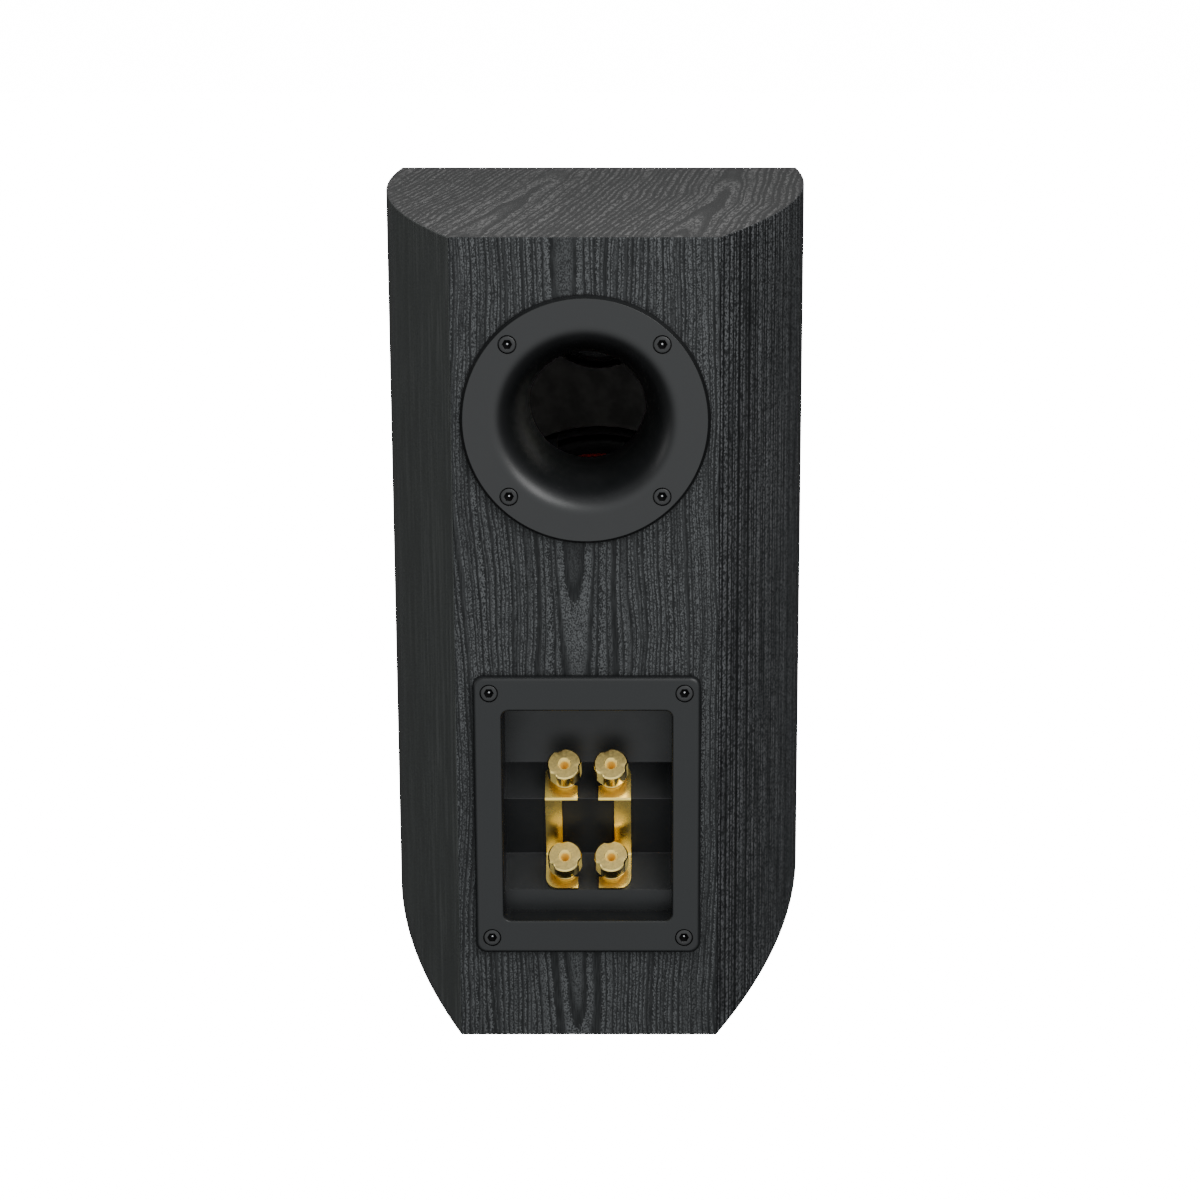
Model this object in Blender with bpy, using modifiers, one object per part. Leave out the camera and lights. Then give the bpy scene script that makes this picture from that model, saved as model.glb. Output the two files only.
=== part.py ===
"""A two-way bookshelf speaker with a rear port and bi-wire terminals, piece by piece.

Frame: the origin is on the floor under the middle of the cabinet. +Z is up, the drivers
face -Y and the port and terminals face +Y. All sizes are in metres, written as mm * MM.
"""
import math

import bmesh
import bpy
from mathutils import Matrix, Vector

MM = 0.001
GAP = 0.3 * MM            # clearance left between pieces that rest on each other

# Cabinet: a constant plan, with sides that are arcs drawn in towards the back
HEIGHT = 330 * MM
DEPTH = 302 * MM          # baffle face to back panel face
HALF_WIDEST = 97.4 * MM
WIDEST_FROM_BACK = 264 * MM
SIDE_RADIUS = 803.6 * MM
PLATE = 15 * MM           # top, bottom and side panels
BAFFLE = 20 * MM
BACK_PANEL = 18 * MM
FRONT_Y = -DEPTH / 2
BACK_Y = DEPTH / 2
PROUD = 4 * MM            # drivers, port flange and terminal plate stand out this far
FLANGE = PROUD - GAP      # the thickness of all their flanges

# Rear port
PORT_Z = 258.5 * MM
PORT_FLANGE_R = 49.4 * MM
PORT_MOUTH_R = 37.5 * MM
PORT_THROAT_R = 24 * MM
PORT_WALL = 2.5 * MM
PORT_FLARE = 30 * MM      # depth over which the mouth narrows to the throat
PORT_LENGTH = 48 * MM     # from the back panel's face to the inner end
PORT_SCREW_PITCH = 60.5 * MM

# Terminal cup: a plate round a recess whose floor zigzags, with two up-facing slopes
CUP_Z = 95.8 * MM
CUP_SIZE = (92 * MM, 117.3 * MM)
CUP_CORNER = 4 * MM
CUP_EDGE = 1.6 * MM
RECESS_SIZE = (70.2 * MM, 90.3 * MM)
RECESS_WALL = 2.5 * MM
RECESS_DEEP = 20 * MM
RECESS_SHALLOW = 8 * MM
SLOPE_RUN = RECESS_DEEP - RECESS_SHALLOW   # both slopes rise at 45 degrees
ROW_PITCH = 39.4 * MM
UPPER_SLOPE_TOP = 111.8 * MM
CUP_SCREW_PITCH = (78.6 * MM, 103.8 * MM)

# Binding posts: two rows of two, square to the slopes
POST_PITCH = 19 * MM
POST_TILT = math.radians(45)
STUD_R = 3 * MM
STUD_BORE_R = 2 * MM
THREAD_BORE_R = 3.35 * MM
NUT_CAP_R = 7.0 * MM
NUT_CAP_H = 7.3 * MM
NUT_NECK_R = 4.7 * MM
NUT_TOP = 14.5 * MM       # height of the nut's face over the slope
STRAP_THICK = 1.5 * MM
STRAP_BASE = GAP
WASHER_BASE = STRAP_BASE + STRAP_THICK + GAP
WASHER_THICK = 0.9 * MM
WASHER_R = 5 * MM
NUT_BASE = WASHER_BASE + WASHER_THICK + GAP

# Drivers, both centred on the baffle
WOOFER_Z = 132 * MM
WOOFER_R = 87 * MM
WOOFER_HOLE_R = 73.2 * MM
WOOFER_SCREW_R = 81.5 * MM
WOOFER_SCREWS = 8
TWEETER_Z = 265 * MM
TWEETER_R = 44 * MM
TWEETER_HOLE_R = 31 * MM
TWEETER_SCREW_R = 38 * MM
TWEETER_SCREWS = 3

# Fasteners: socket head screws let in flush
HEAD_R = 3.4 * MM
HEAD_H = 2.3 * MM
SHANK_R = 1.5 * MM
SOCKET_R = 1.7 * MM
SOCKET_DEEP = 1.4 * MM
REAR_SCREW = 15 * MM
FRONT_SCREW = 17 * MM

TO_REAR = Matrix.Rotation(math.radians(-90), 4, "X")    # local +Z points out of the back
TO_FRONT = Matrix.Rotation(math.radians(90), 4, "X")    # local +Z points out of the front
ALONG_POST = Matrix.Rotation(-POST_TILT, 4, "X")        # local +Z points up and rearward
PROFILE_TO_YZ = Matrix(((0, 0, 1, 0), (1, 0, 0, 0), (0, 1, 0, 0), (0, 0, 0, 1)))


# ---------------------------------------------------------------- scene and materials

def clear_scene():
    for old in list(bpy.data.objects):
        bpy.data.objects.remove(old, do_unlink=True)


def new_collection(name):
    collection = bpy.data.collections.new(name)
    bpy.context.scene.collection.children.link(collection)
    return collection


def material(name, colour, roughness, metallic=0.0):
    made = bpy.data.materials.new(name)
    made.use_nodes = True
    shader = made.node_tree.nodes["Principled BSDF"]
    shader.inputs["Base Color"].default_value = (*colour, 1.0)
    shader.inputs["Roughness"].default_value = roughness
    shader.inputs["Metallic"].default_value = metallic
    made.diffuse_color = (*colour, 1.0)
    return made


# ---------------------------------------------------------------- modelling helpers

def place(obj, collection, matrix=None, finish=None):
    """Put an object in its collection, at its place, in its material."""
    collection.objects.link(obj)
    if matrix is not None:
        obj.matrix_world = matrix
    if finish is not None:
        obj.data.materials.append(finish)
    return obj


def as_cutter(obj):
    obj.hide_render = True
    obj.display_type = "WIRE"
    return obj


def smooth(mesh, degrees=35):
    mesh.shade_smooth()
    mesh.set_sharp_from_angle(angle=math.radians(degrees))


def plate_from_outline(name, outline, thickness):
    """A flat piece of this outline, centred on its own XY plane, as a mesh object."""
    curve = bpy.data.curves.new(name, "CURVE")
    curve.dimensions = "2D"
    curve.fill_mode = "BOTH"
    curve.extrude = thickness / 2
    spline = curve.splines.new("POLY")
    spline.points.add(len(outline) - 1)
    for point, (u, v) in zip(spline.points, outline):
        point.co = (u, v, 0, 1)
    spline.use_cyclic_u = True
    return mesh_object(name, curve)


def mesh_object(name, curve):
    """Turn a curve into a mesh object with its caps welded."""
    guide = bpy.data.objects.new(name + "_curve", curve)
    bpy.context.scene.collection.objects.link(guide)
    depsgraph = bpy.context.evaluated_depsgraph_get()
    mesh = bpy.data.meshes.new_from_object(guide.evaluated_get(depsgraph))
    bpy.data.objects.remove(guide, do_unlink=True)
    shape = bmesh.new()
    shape.from_mesh(mesh)
    bmesh.ops.remove_doubles(shape, verts=shape.verts, dist=0.00001)
    bmesh.ops.recalc_face_normals(shape, faces=shape.faces)
    shape.to_mesh(mesh)
    shape.free()
    mesh.name = name
    return bpy.data.objects.new(name, mesh)


def turned(name, profile, steps):
    """A turned piece: profile points (radius, height) run down the outer side.

    A profile that starts and ends on the axis stays open; any other is a closed ring.
    """
    mesh = bpy.data.meshes.new(name)
    points = [(radius, 0, height) for radius, height in profile]
    edges = [(i, i + 1) for i in range(len(points) - 1)]
    if profile[0][0] > 0:
        edges.append((len(points) - 1, 0))
    mesh.from_pydata(points, edges, [])
    obj = bpy.data.objects.new(name, mesh)
    screw = obj.modifiers.new("turn", "SCREW")
    screw.axis = "Z"
    screw.steps = steps
    screw.render_steps = steps
    screw.use_merge_vertices = True
    screw.merge_threshold = 0.00001
    screw.use_smooth_shade = False
    return obj


def block(name, size, corner=0.0, edge=0.0):
    """A block centred on its origin. corner rounds its edges along Z, edge its +Z rim."""
    shape = bmesh.new()
    bmesh.ops.create_cube(shape, size=1.0)
    bmesh.ops.scale(shape, vec=size, verts=shape.verts)
    if corner:
        upright = [e for e in shape.edges if abs(e.verts[0].co.z - e.verts[1].co.z) > 0]
        bmesh.ops.bevel(shape, geom=upright, offset=corner, segments=4, profile=0.5,
                        affect="EDGES")
    if edge:
        top = size[2] / 2 - 0.00001
        rim = [e for e in shape.edges
               if all(v.co.z > top for v in e.verts) and not on_one_face(e, top)]
        bmesh.ops.bevel(shape, geom=rim, offset=edge, segments=2, profile=0.5,
                        affect="EDGES")
    mesh = bpy.data.meshes.new(name)
    shape.to_mesh(mesh)
    shape.free()
    return bpy.data.objects.new(name, mesh)


def on_one_face(edge, top):
    """Whether both faces of an edge lie in the top plane."""
    return all(all(v.co.z > top for v in face.verts) for face in edge.link_faces)


def rod(name, radius, length, sides=12):
    """A cylinder centred on its origin."""
    shape = bmesh.new()
    bmesh.ops.create_cone(shape, cap_ends=True, segments=sides, radius1=radius,
                          radius2=radius, depth=length)
    mesh = bpy.data.meshes.new(name)
    shape.to_mesh(mesh)
    shape.free()
    return bpy.data.objects.new(name, mesh)


def combine(target, cutter, operation="DIFFERENCE"):
    boolean = target.modifiers.new(operation.lower(), "BOOLEAN")
    boolean.operation = operation
    boolean.solver = "EXACT"
    boolean.object = cutter


def at(x=0.0, y=0.0, z=0.0):
    return Matrix.Translation((x, y, z))


def ring_angles(count, first=0.0):
    return [first + 2 * math.pi * i / count for i in range(count)]


def arc(centre, radii, start, end, count):
    """Points (u, v) on an ellipse, from angle start to end in degrees."""
    points = []
    for i in range(count + 1):
        angle = math.radians(start + (end - start) * i / count)
        points.append((centre[0] + radii[0] * math.cos(angle),
                       centre[1] + radii[1] * math.sin(angle)))
    return points


# ---------------------------------------------------------------- cabinet

def half_width(y, inset=0.0):
    """Half the cabinet's width at this depth, measured inset inside the outer face."""
    along = y - (BACK_Y - WIDEST_FROM_BACK)
    return HALF_WIDEST - SIDE_RADIUS + math.sqrt((SIDE_RADIUS - inset) ** 2 - along ** 2)


def side_line(y_from, y_to, inset, steps):
    """Points (x, y) down the +X side of the plan."""
    ys = [y_from + (y_to - y_from) * i / steps for i in range(steps + 1)]
    return [(half_width(y, inset), y) for y in ys]


def plan_slice(y_from, y_to, steps, inset=0.0):
    """The cabinet's plan between two depths."""
    right = side_line(y_from, y_to, inset, steps)
    left = [(-x, y) for x, y in reversed(right)]
    return right + left


def upright_panel(name, outline, parts, finish):
    """A panel that stands between the bottom and top panels."""
    tall = HEIGHT - 2 * (PLATE + GAP)
    panel = plate_from_outline(name, outline, tall)
    return place(panel, parts, at(z=HEIGHT / 2), finish)


def make_cabinet(parts, cutters, board):
    for name, middle in (("bottom_panel", PLATE / 2), ("top_panel", HEIGHT - PLATE / 2)):
        panel = plate_from_outline(name, plan_slice(FRONT_Y, BACK_Y, 16), PLATE)
        place(panel, parts, at(z=middle), board)

    baffle_back = FRONT_Y + BAFFLE
    baffle = upright_panel("front_baffle", plan_slice(FRONT_Y, baffle_back, 2),
                           parts, board)
    for name, radius, z in (("woofer_hole", WOOFER_HOLE_R, WOOFER_Z),
                            ("tweeter_hole", TWEETER_HOLE_R, TWEETER_Z)):
        hole = as_cutter(rod(name, radius, 2 * BAFFLE, 40))
        place(hole, cutters, at(0, FRONT_Y + BAFFLE / 2, z) @ TO_FRONT)
        combine(baffle, hole)

    back_front = BACK_Y - BACK_PANEL
    back = upright_panel("back_panel", plan_slice(back_front, BACK_Y, 2), parts, board)
    port_hole = as_cutter(rod("port_hole", PORT_MOUTH_R + 2 * GAP, 2 * BACK_PANEL, 40))
    place(port_hole, cutters, at(0, BACK_Y - BACK_PANEL / 2, PORT_Z) @ TO_REAR)
    combine(back, port_hole)
    room = 2 * (RECESS_WALL + GAP)
    cup_hole = as_cutter(block("cup_hole", (RECESS_SIZE[0] + room, RECESS_SIZE[1] + room,
                                            2 * BACK_PANEL)))
    place(cup_hole, cutters, at(0, BACK_Y - BACK_PANEL / 2, CUP_Z) @ TO_REAR)
    combine(back, cup_hole)
    drill(baffle, woofer_screw_places() + tweeter_screw_places(), cutters, FRONT_SCREW)
    drill(back, port_screw_places() + cup_screw_places(), cutters, REAR_SCREW)

    side_front = baffle_back + GAP
    side_back = back_front - GAP
    outer = side_line(side_front, side_back, 0.0, 14)
    inner = side_line(side_front, side_back, PLATE, 14)
    wall = outer + inner[::-1]
    upright_panel("right_side_panel", wall, parts, board)
    upright_panel("left_side_panel", [(-x, y) for x, y in wall], parts, board)


BRACE_FRONT = -60 * MM
BRACE_Z = 178 * MM
BRACE_THICK = 12 * MM
BRACE_RIM = 20 * MM


def make_brace(parts, cutters, board):
    """A window brace that ties the sides and the back panel together."""
    brace_back = BACK_Y - BACK_PANEL - GAP
    outline = plan_slice(BRACE_FRONT, brace_back, 6, PLATE + GAP)
    brace = plate_from_outline("window_brace", outline, BRACE_THICK)
    place(brace, parts, at(z=BRACE_Z + BRACE_THICK / 2), board)
    window = plate_from_outline(
        "brace_window",
        plan_slice(BRACE_FRONT + BRACE_RIM, brace_back - BRACE_RIM, 6, PLATE + BRACE_RIM),
        2 * BRACE_THICK)
    place(as_cutter(window), cutters, at(z=BRACE_Z + BRACE_THICK / 2))
    combine(brace, window)


WADDING_THICK = 12 * MM


def make_wadding(parts, felt):
    """A sheet of damping wadding on the left wall, over the brace."""
    low = BRACE_Z + BRACE_THICK + 2 * MM
    high = HEIGHT - PLATE - 8 * MM
    outer = side_line(-70 * MM, 95 * MM, PLATE + GAP, 8)
    inner = side_line(-70 * MM, 95 * MM, PLATE + WADDING_THICK, 8)
    outline = [(-x, y) for x, y in outer + inner[::-1]]
    sheet = plate_from_outline("damping_wadding", outline, high - low)
    place(sheet, parts, at(z=(low + high) / 2), felt)


# ---------------------------------------------------------------- screws

def screw_profile(length):
    return [(0, -SOCKET_DEEP), (SOCKET_R, -SOCKET_DEEP), (SOCKET_R, 0), (HEAD_R, 0),
            (HEAD_R, -HEAD_H), (SHANK_R, -HEAD_H), (SHANK_R, -length), (0, -length)]


def add_screws(prefix, places, length, parts, steel):
    """One screw at each place, its head's face at the place's origin."""
    for number, where in enumerate(places, 1):
        screw = turned(f"{prefix}_{number}", screw_profile(length), 10)
        place(screw, parts, where, steel)


def drill(target, places, cutters, length):
    """A stepped hole for each screw: a counterbore for the head, then the shank."""
    wide = HEAD_R + 2 * GAP
    thin = SHANK_R + GAP
    step = -HEAD_H - GAP
    deep = -length - GAP
    profile = [(0, 5 * MM), (wide, 5 * MM), (wide, step), (thin, step), (thin, deep),
               (0, deep)]
    for number, where in enumerate(places, 1):
        hole = as_cutter(turned(f"{target.name}_hole_{number}", profile, 10))
        place(hole, cutters, where)
        combine(target, hole)


def port_screw_places():
    half = PORT_SCREW_PITCH / 2
    return [at(x, BACK_Y + PROUD, PORT_Z + z) @ TO_REAR
            for z in (half, -half) for x in (half, -half)]


def cup_screw_places():
    across, up = CUP_SCREW_PITCH[0] / 2, CUP_SCREW_PITCH[1] / 2
    return [at(x, BACK_Y + PROUD, CUP_Z + z) @ TO_REAR
            for z in (up, -up) for x in (across, -across)]


def driver_screw_places(radius, count, first, z):
    return [at(radius * math.cos(a), FRONT_Y - PROUD, z + radius * math.sin(a)) @ TO_FRONT
            for a in ring_angles(count, first)]


def woofer_screw_places():
    return driver_screw_places(WOOFER_SCREW_R, WOOFER_SCREWS, math.pi / WOOFER_SCREWS,
                               WOOFER_Z)


def tweeter_screw_places():
    return driver_screw_places(TWEETER_SCREW_R, TWEETER_SCREWS, math.pi / 2, TWEETER_Z)


# ---------------------------------------------------------------- port

def make_port(parts, cutters, plastic, steel):
    """A flanged tube whose mouth flares on a quarter ellipse."""
    bevel = 1.5 * MM
    flare_end = PROUD - PORT_FLARE
    narrowing = PORT_MOUTH_R - PORT_THROAT_R
    inner = arc((PORT_MOUTH_R, flare_end), (narrowing, PORT_FLARE), 180, 90, 7)
    outer = arc((PORT_MOUTH_R, flare_end),
                (narrowing - PORT_WALL, PORT_FLARE - FLANGE), 90, 180, 5)
    outline = inner[1:] + [
        (PORT_FLANGE_R - bevel, PROUD),
        (PORT_FLANGE_R - 0.3 * bevel, PROUD - 0.4 * bevel),
        (PORT_FLANGE_R, PROUD - 1.2 * bevel),
        (PORT_FLANGE_R, GAP)]
    outline += outer
    outline += [(PORT_THROAT_R + PORT_WALL, -PORT_LENGTH), (PORT_THROAT_R, -PORT_LENGTH),
                inner[0]]
    tube = turned("port_tube", outline, 36)
    place(tube, parts, at(0, BACK_Y, PORT_Z) @ TO_REAR, plastic)
    drill(tube, port_screw_places(), cutters, REAR_SCREW)
    add_screws("port_screw", port_screw_places(), REAR_SCREW, parts, steel)


# ---------------------------------------------------------------- terminal cup

def recess_floor():
    """The recess's zigzag floor from top to bottom, as (depth behind the face, height)."""
    upper_foot = UPPER_SLOPE_TOP - SLOPE_RUN
    lower_top = UPPER_SLOPE_TOP - ROW_PITCH
    return [(RECESS_DEEP, CUP_Z + CUP_SIZE[1] / 2), (RECESS_DEEP, UPPER_SLOPE_TOP),
            (RECESS_SHALLOW, upper_foot), (RECESS_DEEP, lower_top),
            (RECESS_SHALLOW, lower_top - SLOPE_RUN), (RECESS_SHALLOW, CUP_Z - CUP_SIZE[1] / 2)]


def offset_line(line, distance):
    """The line moved sideways, to the left of its direction, with mitred corners."""
    points = [Vector(point) for point in line]
    steps = [(b - a).normalized() for a, b in zip(points, points[1:])]
    sides = [Vector((-step.y, step.x)) for step in steps]
    moved = [points[0] + sides[0] * distance]
    for point, before, after in zip(points[1:-1], sides, sides[1:]):
        bisector = (before + after).normalized()
        moved.append(point + bisector * distance / bisector.dot(before))
    moved.append(points[-1] + sides[-1] * distance)
    return [tuple(point) for point in moved]


def recess_prism(name, floor, front, size, corner, cutters):
    """The solid between this floor and a front depth, with its corners rounded."""
    outline = [(front, floor[0][1])] + floor + [(front, floor[-1][1])]
    in_world = [(BACK_Y - depth, height) for depth, height in outline]
    prism = plate_from_outline(name, in_world, 2 * size[0])
    place(prism, cutters, PROFILE_TO_YZ)
    limit = as_cutter(block(name + "_limit", (*size, 4 * RECESS_DEEP), corner))
    place(limit, cutters, at(0, BACK_Y, CUP_Z) @ TO_REAR)
    combine(prism, limit, "INTERSECT")
    return as_cutter(prism)


def make_terminal_cup(parts, cutters, plastic, steel):
    plate = block("terminal_cup", (*CUP_SIZE, FLANGE), CUP_CORNER, CUP_EDGE)
    place(plate, parts, at(0, BACK_Y + GAP + FLANGE / 2, CUP_Z) @ TO_REAR, plastic)
    outer_size = [side + 2 * RECESS_WALL for side in RECESS_SIZE]
    outer_floor = offset_line(recess_floor(), RECESS_WALL)
    tub = recess_prism("cup_tub", outer_floor, -PROUD / 2, outer_size,
                       CUP_CORNER + RECESS_WALL, cutters)
    hollow = recess_prism("cup_hollow", recess_floor(), -2 * PROUD, RECESS_SIZE,
                          CUP_CORNER, cutters)
    combine(plate, tub, "UNION")
    combine(plate, hollow)
    for number, where in enumerate(post_places().values(), 1):
        hole = as_cutter(rod(f"post_hole_{number}", STUD_R + GAP, 20 * MM, 12))
        place(hole, cutters, where)
        combine(plate, hole)
    drill(plate, cup_screw_places(), cutters, REAR_SCREW)
    add_screws("cup_screw", cup_screw_places(), REAR_SCREW, parts, steel)


# ---------------------------------------------------------------- binding posts

def post_places():
    """Where each post stands on its slope. +Z of a place runs out along the post."""
    middle_depth = (RECESS_DEEP + RECESS_SHALLOW) / 2
    upper = UPPER_SLOPE_TOP - SLOPE_RUN / 2
    places = {}
    for row, height in (("upper", upper), ("lower", upper - ROW_PITCH)):
        for side, x in (("left", -POST_PITCH / 2), ("right", POST_PITCH / 2)):
            where = at(x, BACK_Y - middle_depth, height) @ ALONG_POST
            places[f"{row}_{side}"] = where
    return places


def stud_profile():
    """A hollow stud for a banana plug, with a locking flange and a tail inside."""
    tip = NUT_TOP - 2 * MM
    flange_top = -RECESS_WALL - GAP
    flange_low = flange_top - 2.2 * MM
    bore_floor = -1.5 * MM
    return [(0, bore_floor), (STUD_BORE_R, bore_floor), (STUD_BORE_R, tip), (STUD_R, tip),
            (STUD_R, flange_top), (5 * MM, flange_top), (5 * MM, flange_low),
            (STUD_BORE_R, flange_low), (STUD_BORE_R, -14 * MM), (0, -14 * MM)]


def nut_profile():
    """A bevelled cap over a neck, with a thread bore and a plug hole."""
    face_hole = 2.65 * MM
    plug_hole = 2.1 * MM
    bevel = 0.8 * MM
    cap_low = NUT_TOP - NUT_CAP_H
    web = NUT_TOP - 1.6 * MM
    return [(face_hole, NUT_TOP), (NUT_CAP_R - bevel, NUT_TOP),
            (NUT_CAP_R, NUT_TOP - bevel), (NUT_CAP_R, cap_low + bevel),
            (NUT_CAP_R - bevel, cap_low), (NUT_NECK_R, cap_low), (NUT_NECK_R, NUT_BASE),
            (THREAD_BORE_R, NUT_BASE), (THREAD_BORE_R, web), (plug_hole, web),
            (plug_hole, NUT_TOP - 1.2 * MM)]


def washer_profile():
    top = WASHER_BASE + WASHER_THICK
    return [(THREAD_BORE_R, top), (WASHER_R, top), (WASHER_R, WASHER_BASE),
            (THREAD_BORE_R, WASHER_BASE)]


FLUTES = 3
FLUTE_FIRST = math.radians(58)
FLUTE_R = 2.4 * MM
FLUTE_OUT = 7.9 * MM


def make_posts(parts, cutters, gold):
    for name, where in post_places().items():
        stud = turned(f"post_stud_{name}", stud_profile(), 12)
        place(stud, parts, where, gold)
        washer = turned(f"clamp_washer_{name}", washer_profile(), 16)
        place(washer, parts, where, gold)
        nut = turned(f"thumb_nut_{name}", nut_profile(), 20)
        place(nut, parts, where, gold)
        for number, angle in enumerate(ring_angles(FLUTES, FLUTE_FIRST)):
            flute = as_cutter(rod(f"flute_{name}_{number}", FLUTE_R, 20 * MM, 8))
            spot = at(FLUTE_OUT * math.cos(angle), FLUTE_OUT * math.sin(angle), NUT_TOP)
            place(flute, cutters, where @ spot)
            combine(nut, flute)


STRAP_INNER = 4.3 * MM      # distances from the middle of the cup
STRAP_BAR = 10.7 * MM
STRAP_OUTER = 17.55 * MM
STRAP_CORNER = 5 * MM
STRAP_UPPER_END = 15 * MM   # how far the strap runs up the upper slope


def strap_path():
    """The floor under a strap: up part of the upper slope, down to the lower slope's foot."""
    floor = recess_floor()
    foot, valley, low_foot = floor[2], floor[3], floor[4]
    climb = STRAP_UPPER_END * math.sin(POST_TILT)
    return [(foot[0] + climb, foot[1] + climb), foot, valley, low_foot]


def make_straps(parts, cutters, gold):
    """Two bent jumper plates that join the posts of each polarity, forked for the studs."""
    low = offset_line(strap_path(), -STRAP_BASE)
    high = offset_line(strap_path(), -STRAP_BASE - STRAP_THICK)
    outline = [(BACK_Y - depth, height) for depth, height in low + high[::-1]]
    width = STRAP_OUTER - STRAP_INNER
    floor = recess_floor()
    for name, side in (("left", -1), ("right", 1)):
        strap = plate_from_outline(f"jumper_strap_{name}", outline, width)
        round_outer_ends(strap.data, side)
        centre = side * (STRAP_OUTER + STRAP_INNER) / 2
        place(strap, parts, at(x=centre) @ PROFILE_TO_YZ, gold)
        window_top = floor[2][1] - 0.2 * MM
        window_low = floor[4][1] + STRAP_UPPER_END * math.sin(POST_TILT)
        window = as_cutter(block(f"strap_window_{name}", (
            2 * (STRAP_BAR - STRAP_INNER), 4 * RECESS_DEEP, window_top - window_low)))
        place(window, cutters, at(side * STRAP_INNER, BACK_Y, (window_top + window_low) / 2))
        combine(strap, window)
        for row in ("upper", "lower"):
            slot = as_cutter(block(f"strap_slot_{row}_{name}", (
                POST_PITCH, 2 * THREAD_BORE_R, 10 * MM)))
            where = post_places()[f"{row}_{name}"]
            place(slot, cutters, where @ at(x=-side * POST_PITCH / 2))
            combine(strap, slot)
            end = as_cutter(rod(f"strap_slot_end_{row}_{name}", THREAD_BORE_R, 9 * MM, 12))
            place(end, cutters, where)
            combine(strap, end)


def round_outer_ends(mesh, side):
    """Round the two end corners of a strap that lie away from the middle of the cup."""
    shape = bmesh.new()
    shape.from_mesh(mesh)
    outer = max(side * v.co.z for v in shape.verts) - 0.00001
    short = [e for e in shape.edges
             if all(side * v.co.z > outer for v in e.verts)
             and e.calc_length() < 1.05 * STRAP_THICK]
    bmesh.ops.bevel(shape, geom=short, offset=STRAP_CORNER, segments=3, profile=0.5,
                    affect="EDGES")
    shape.to_mesh(mesh)
    shape.free()


# ---------------------------------------------------------------- woofer

def make_woofer(parts, cutters, finishes):
    """A 6.5 inch cone driver. Heights are forward of the baffle's face."""
    here = at(0, FRONT_Y, WOOFER_Z) @ TO_FRONT
    m = MM
    shapes = {
        "woofer_basket": ([
            (72 * m, 4 * m), (86.2 * m, 4 * m), (WOOFER_R, 3.2 * m), (WOOFER_R, GAP),
            (72.6 * m, GAP), (72.6 * m, -4.5 * m), (47 * m, -46 * m), (47 * m, -52 * m),
            (20 * m, -52 * m), (20 * m, -49.5 * m), (44 * m, -49.5 * m),
            (44 * m, -46 * m), (69 * m, -4.5 * m), (66.5 * m, -3.5 * m),
            (66.5 * m, -1.5 * m), (72 * m, -1.5 * m)], 30, "frame"),
        "woofer_top_plate": ([
            (17.4 * m, -52.3 * m), (45 * m, -52.3 * m), (45 * m, -58.3 * m),
            (17.4 * m, -58.3 * m)], 28, "iron"),
        "woofer_magnet": ([
            (27 * m, -58.6 * m), (50 * m, -58.6 * m), (50 * m, -76.6 * m),
            (27 * m, -76.6 * m)], 28, "ferrite"),
        "woofer_yoke": ([
            (5 * m, -52.3 * m), (14.3 * m, -52.3 * m), (14.3 * m, -76.9 * m),
            (45 * m, -76.9 * m), (45 * m, -82.9 * m), (5 * m, -82.9 * m)], 28, "iron"),
        "woofer_voice_coil": ([
            (15.4 * m, -22 * m), (16 * m, -22 * m), (16 * m, -60 * m),
            (15.4 * m, -60 * m)], 24, "copper"),
        "woofer_cone": ([
            (50 * m, -1.6 * m), (56.3 * m, -1.6 * m), (56.3 * m, -2.6 * m),
            (49.6 * m, -2.6 * m), (35 * m, -12.6 * m), (16.3 * m, -24.4 * m),
            (16.3 * m, -23 * m), (35 * m, -11.4 * m)], 32, "cone"),
        "woofer_surround": (surround_profile(), 28, "rubber"),
        "woofer_spider": ([
            (16.3 * m, -35 * m), (22 * m, -34 * m), (29 * m, -36 * m), (36 * m, -34 * m),
            (43 * m, -36 * m), (49 * m, -35 * m), (49 * m, -36 * m), (43 * m, -37 * m),
            (36 * m, -35 * m), (29 * m, -37 * m), (22 * m, -35 * m),
            (16.3 * m, -36 * m)], 24, "cloth"),
        "woofer_dust_cap": (dome_profile(18 * m, -21.3 * m, 8 * m, 0.8 * m), 24, "cap"),
    }
    for name, (profile, steps, finish) in shapes.items():
        place(turned(name, profile, steps), parts, here, finishes[finish])
    basket = parts.objects["woofer_basket"]
    for number, angle in enumerate(ring_angles(6)):
        window = as_cutter(block(f"basket_window_{number}", (60 * m, 42 * m, 24 * m)))
        turn = Matrix.Rotation(angle, 4, "Z")
        place(window, cutters, here @ turn @ at(x=62 * m, z=-20 * m))
        combine(basket, window)
    drill(basket, woofer_screw_places(), cutters, FRONT_SCREW)
    add_screws("woofer_screw", woofer_screw_places(), FRONT_SCREW, parts,
               finishes["steel"])


def surround_profile():
    """A half roll between an outer lip on the basket and an inner lip on the cone."""
    middle = 61.8 * MM
    seat = -1.2 * MM
    lip = 0.8 * MM
    roll = 5.2 * MM
    over = arc((middle, seat), (roll, roll), 180 - 9, 9, 6)
    under = arc((middle, seat), (roll - lip, roll - lip), 0, 180, 6)
    return ([(51.5 * MM, seat + lip)] + over
            + [(71.6 * MM, seat + lip), (71.6 * MM, seat)] + under + [(51.5 * MM, seat)])


def dome_profile(radius, seat, rise, thickness):
    """A thin domed cap that stands on its rim."""
    over = arc((0, seat), (radius, rise), 90, 0, 5)
    under = arc((0, seat), (radius - thickness, rise - thickness), 0, 90, 5)
    under[-1] = (0, under[-1][1])
    over[0] = (0, over[0][1])
    return over + under


# ---------------------------------------------------------------- tweeter

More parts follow.
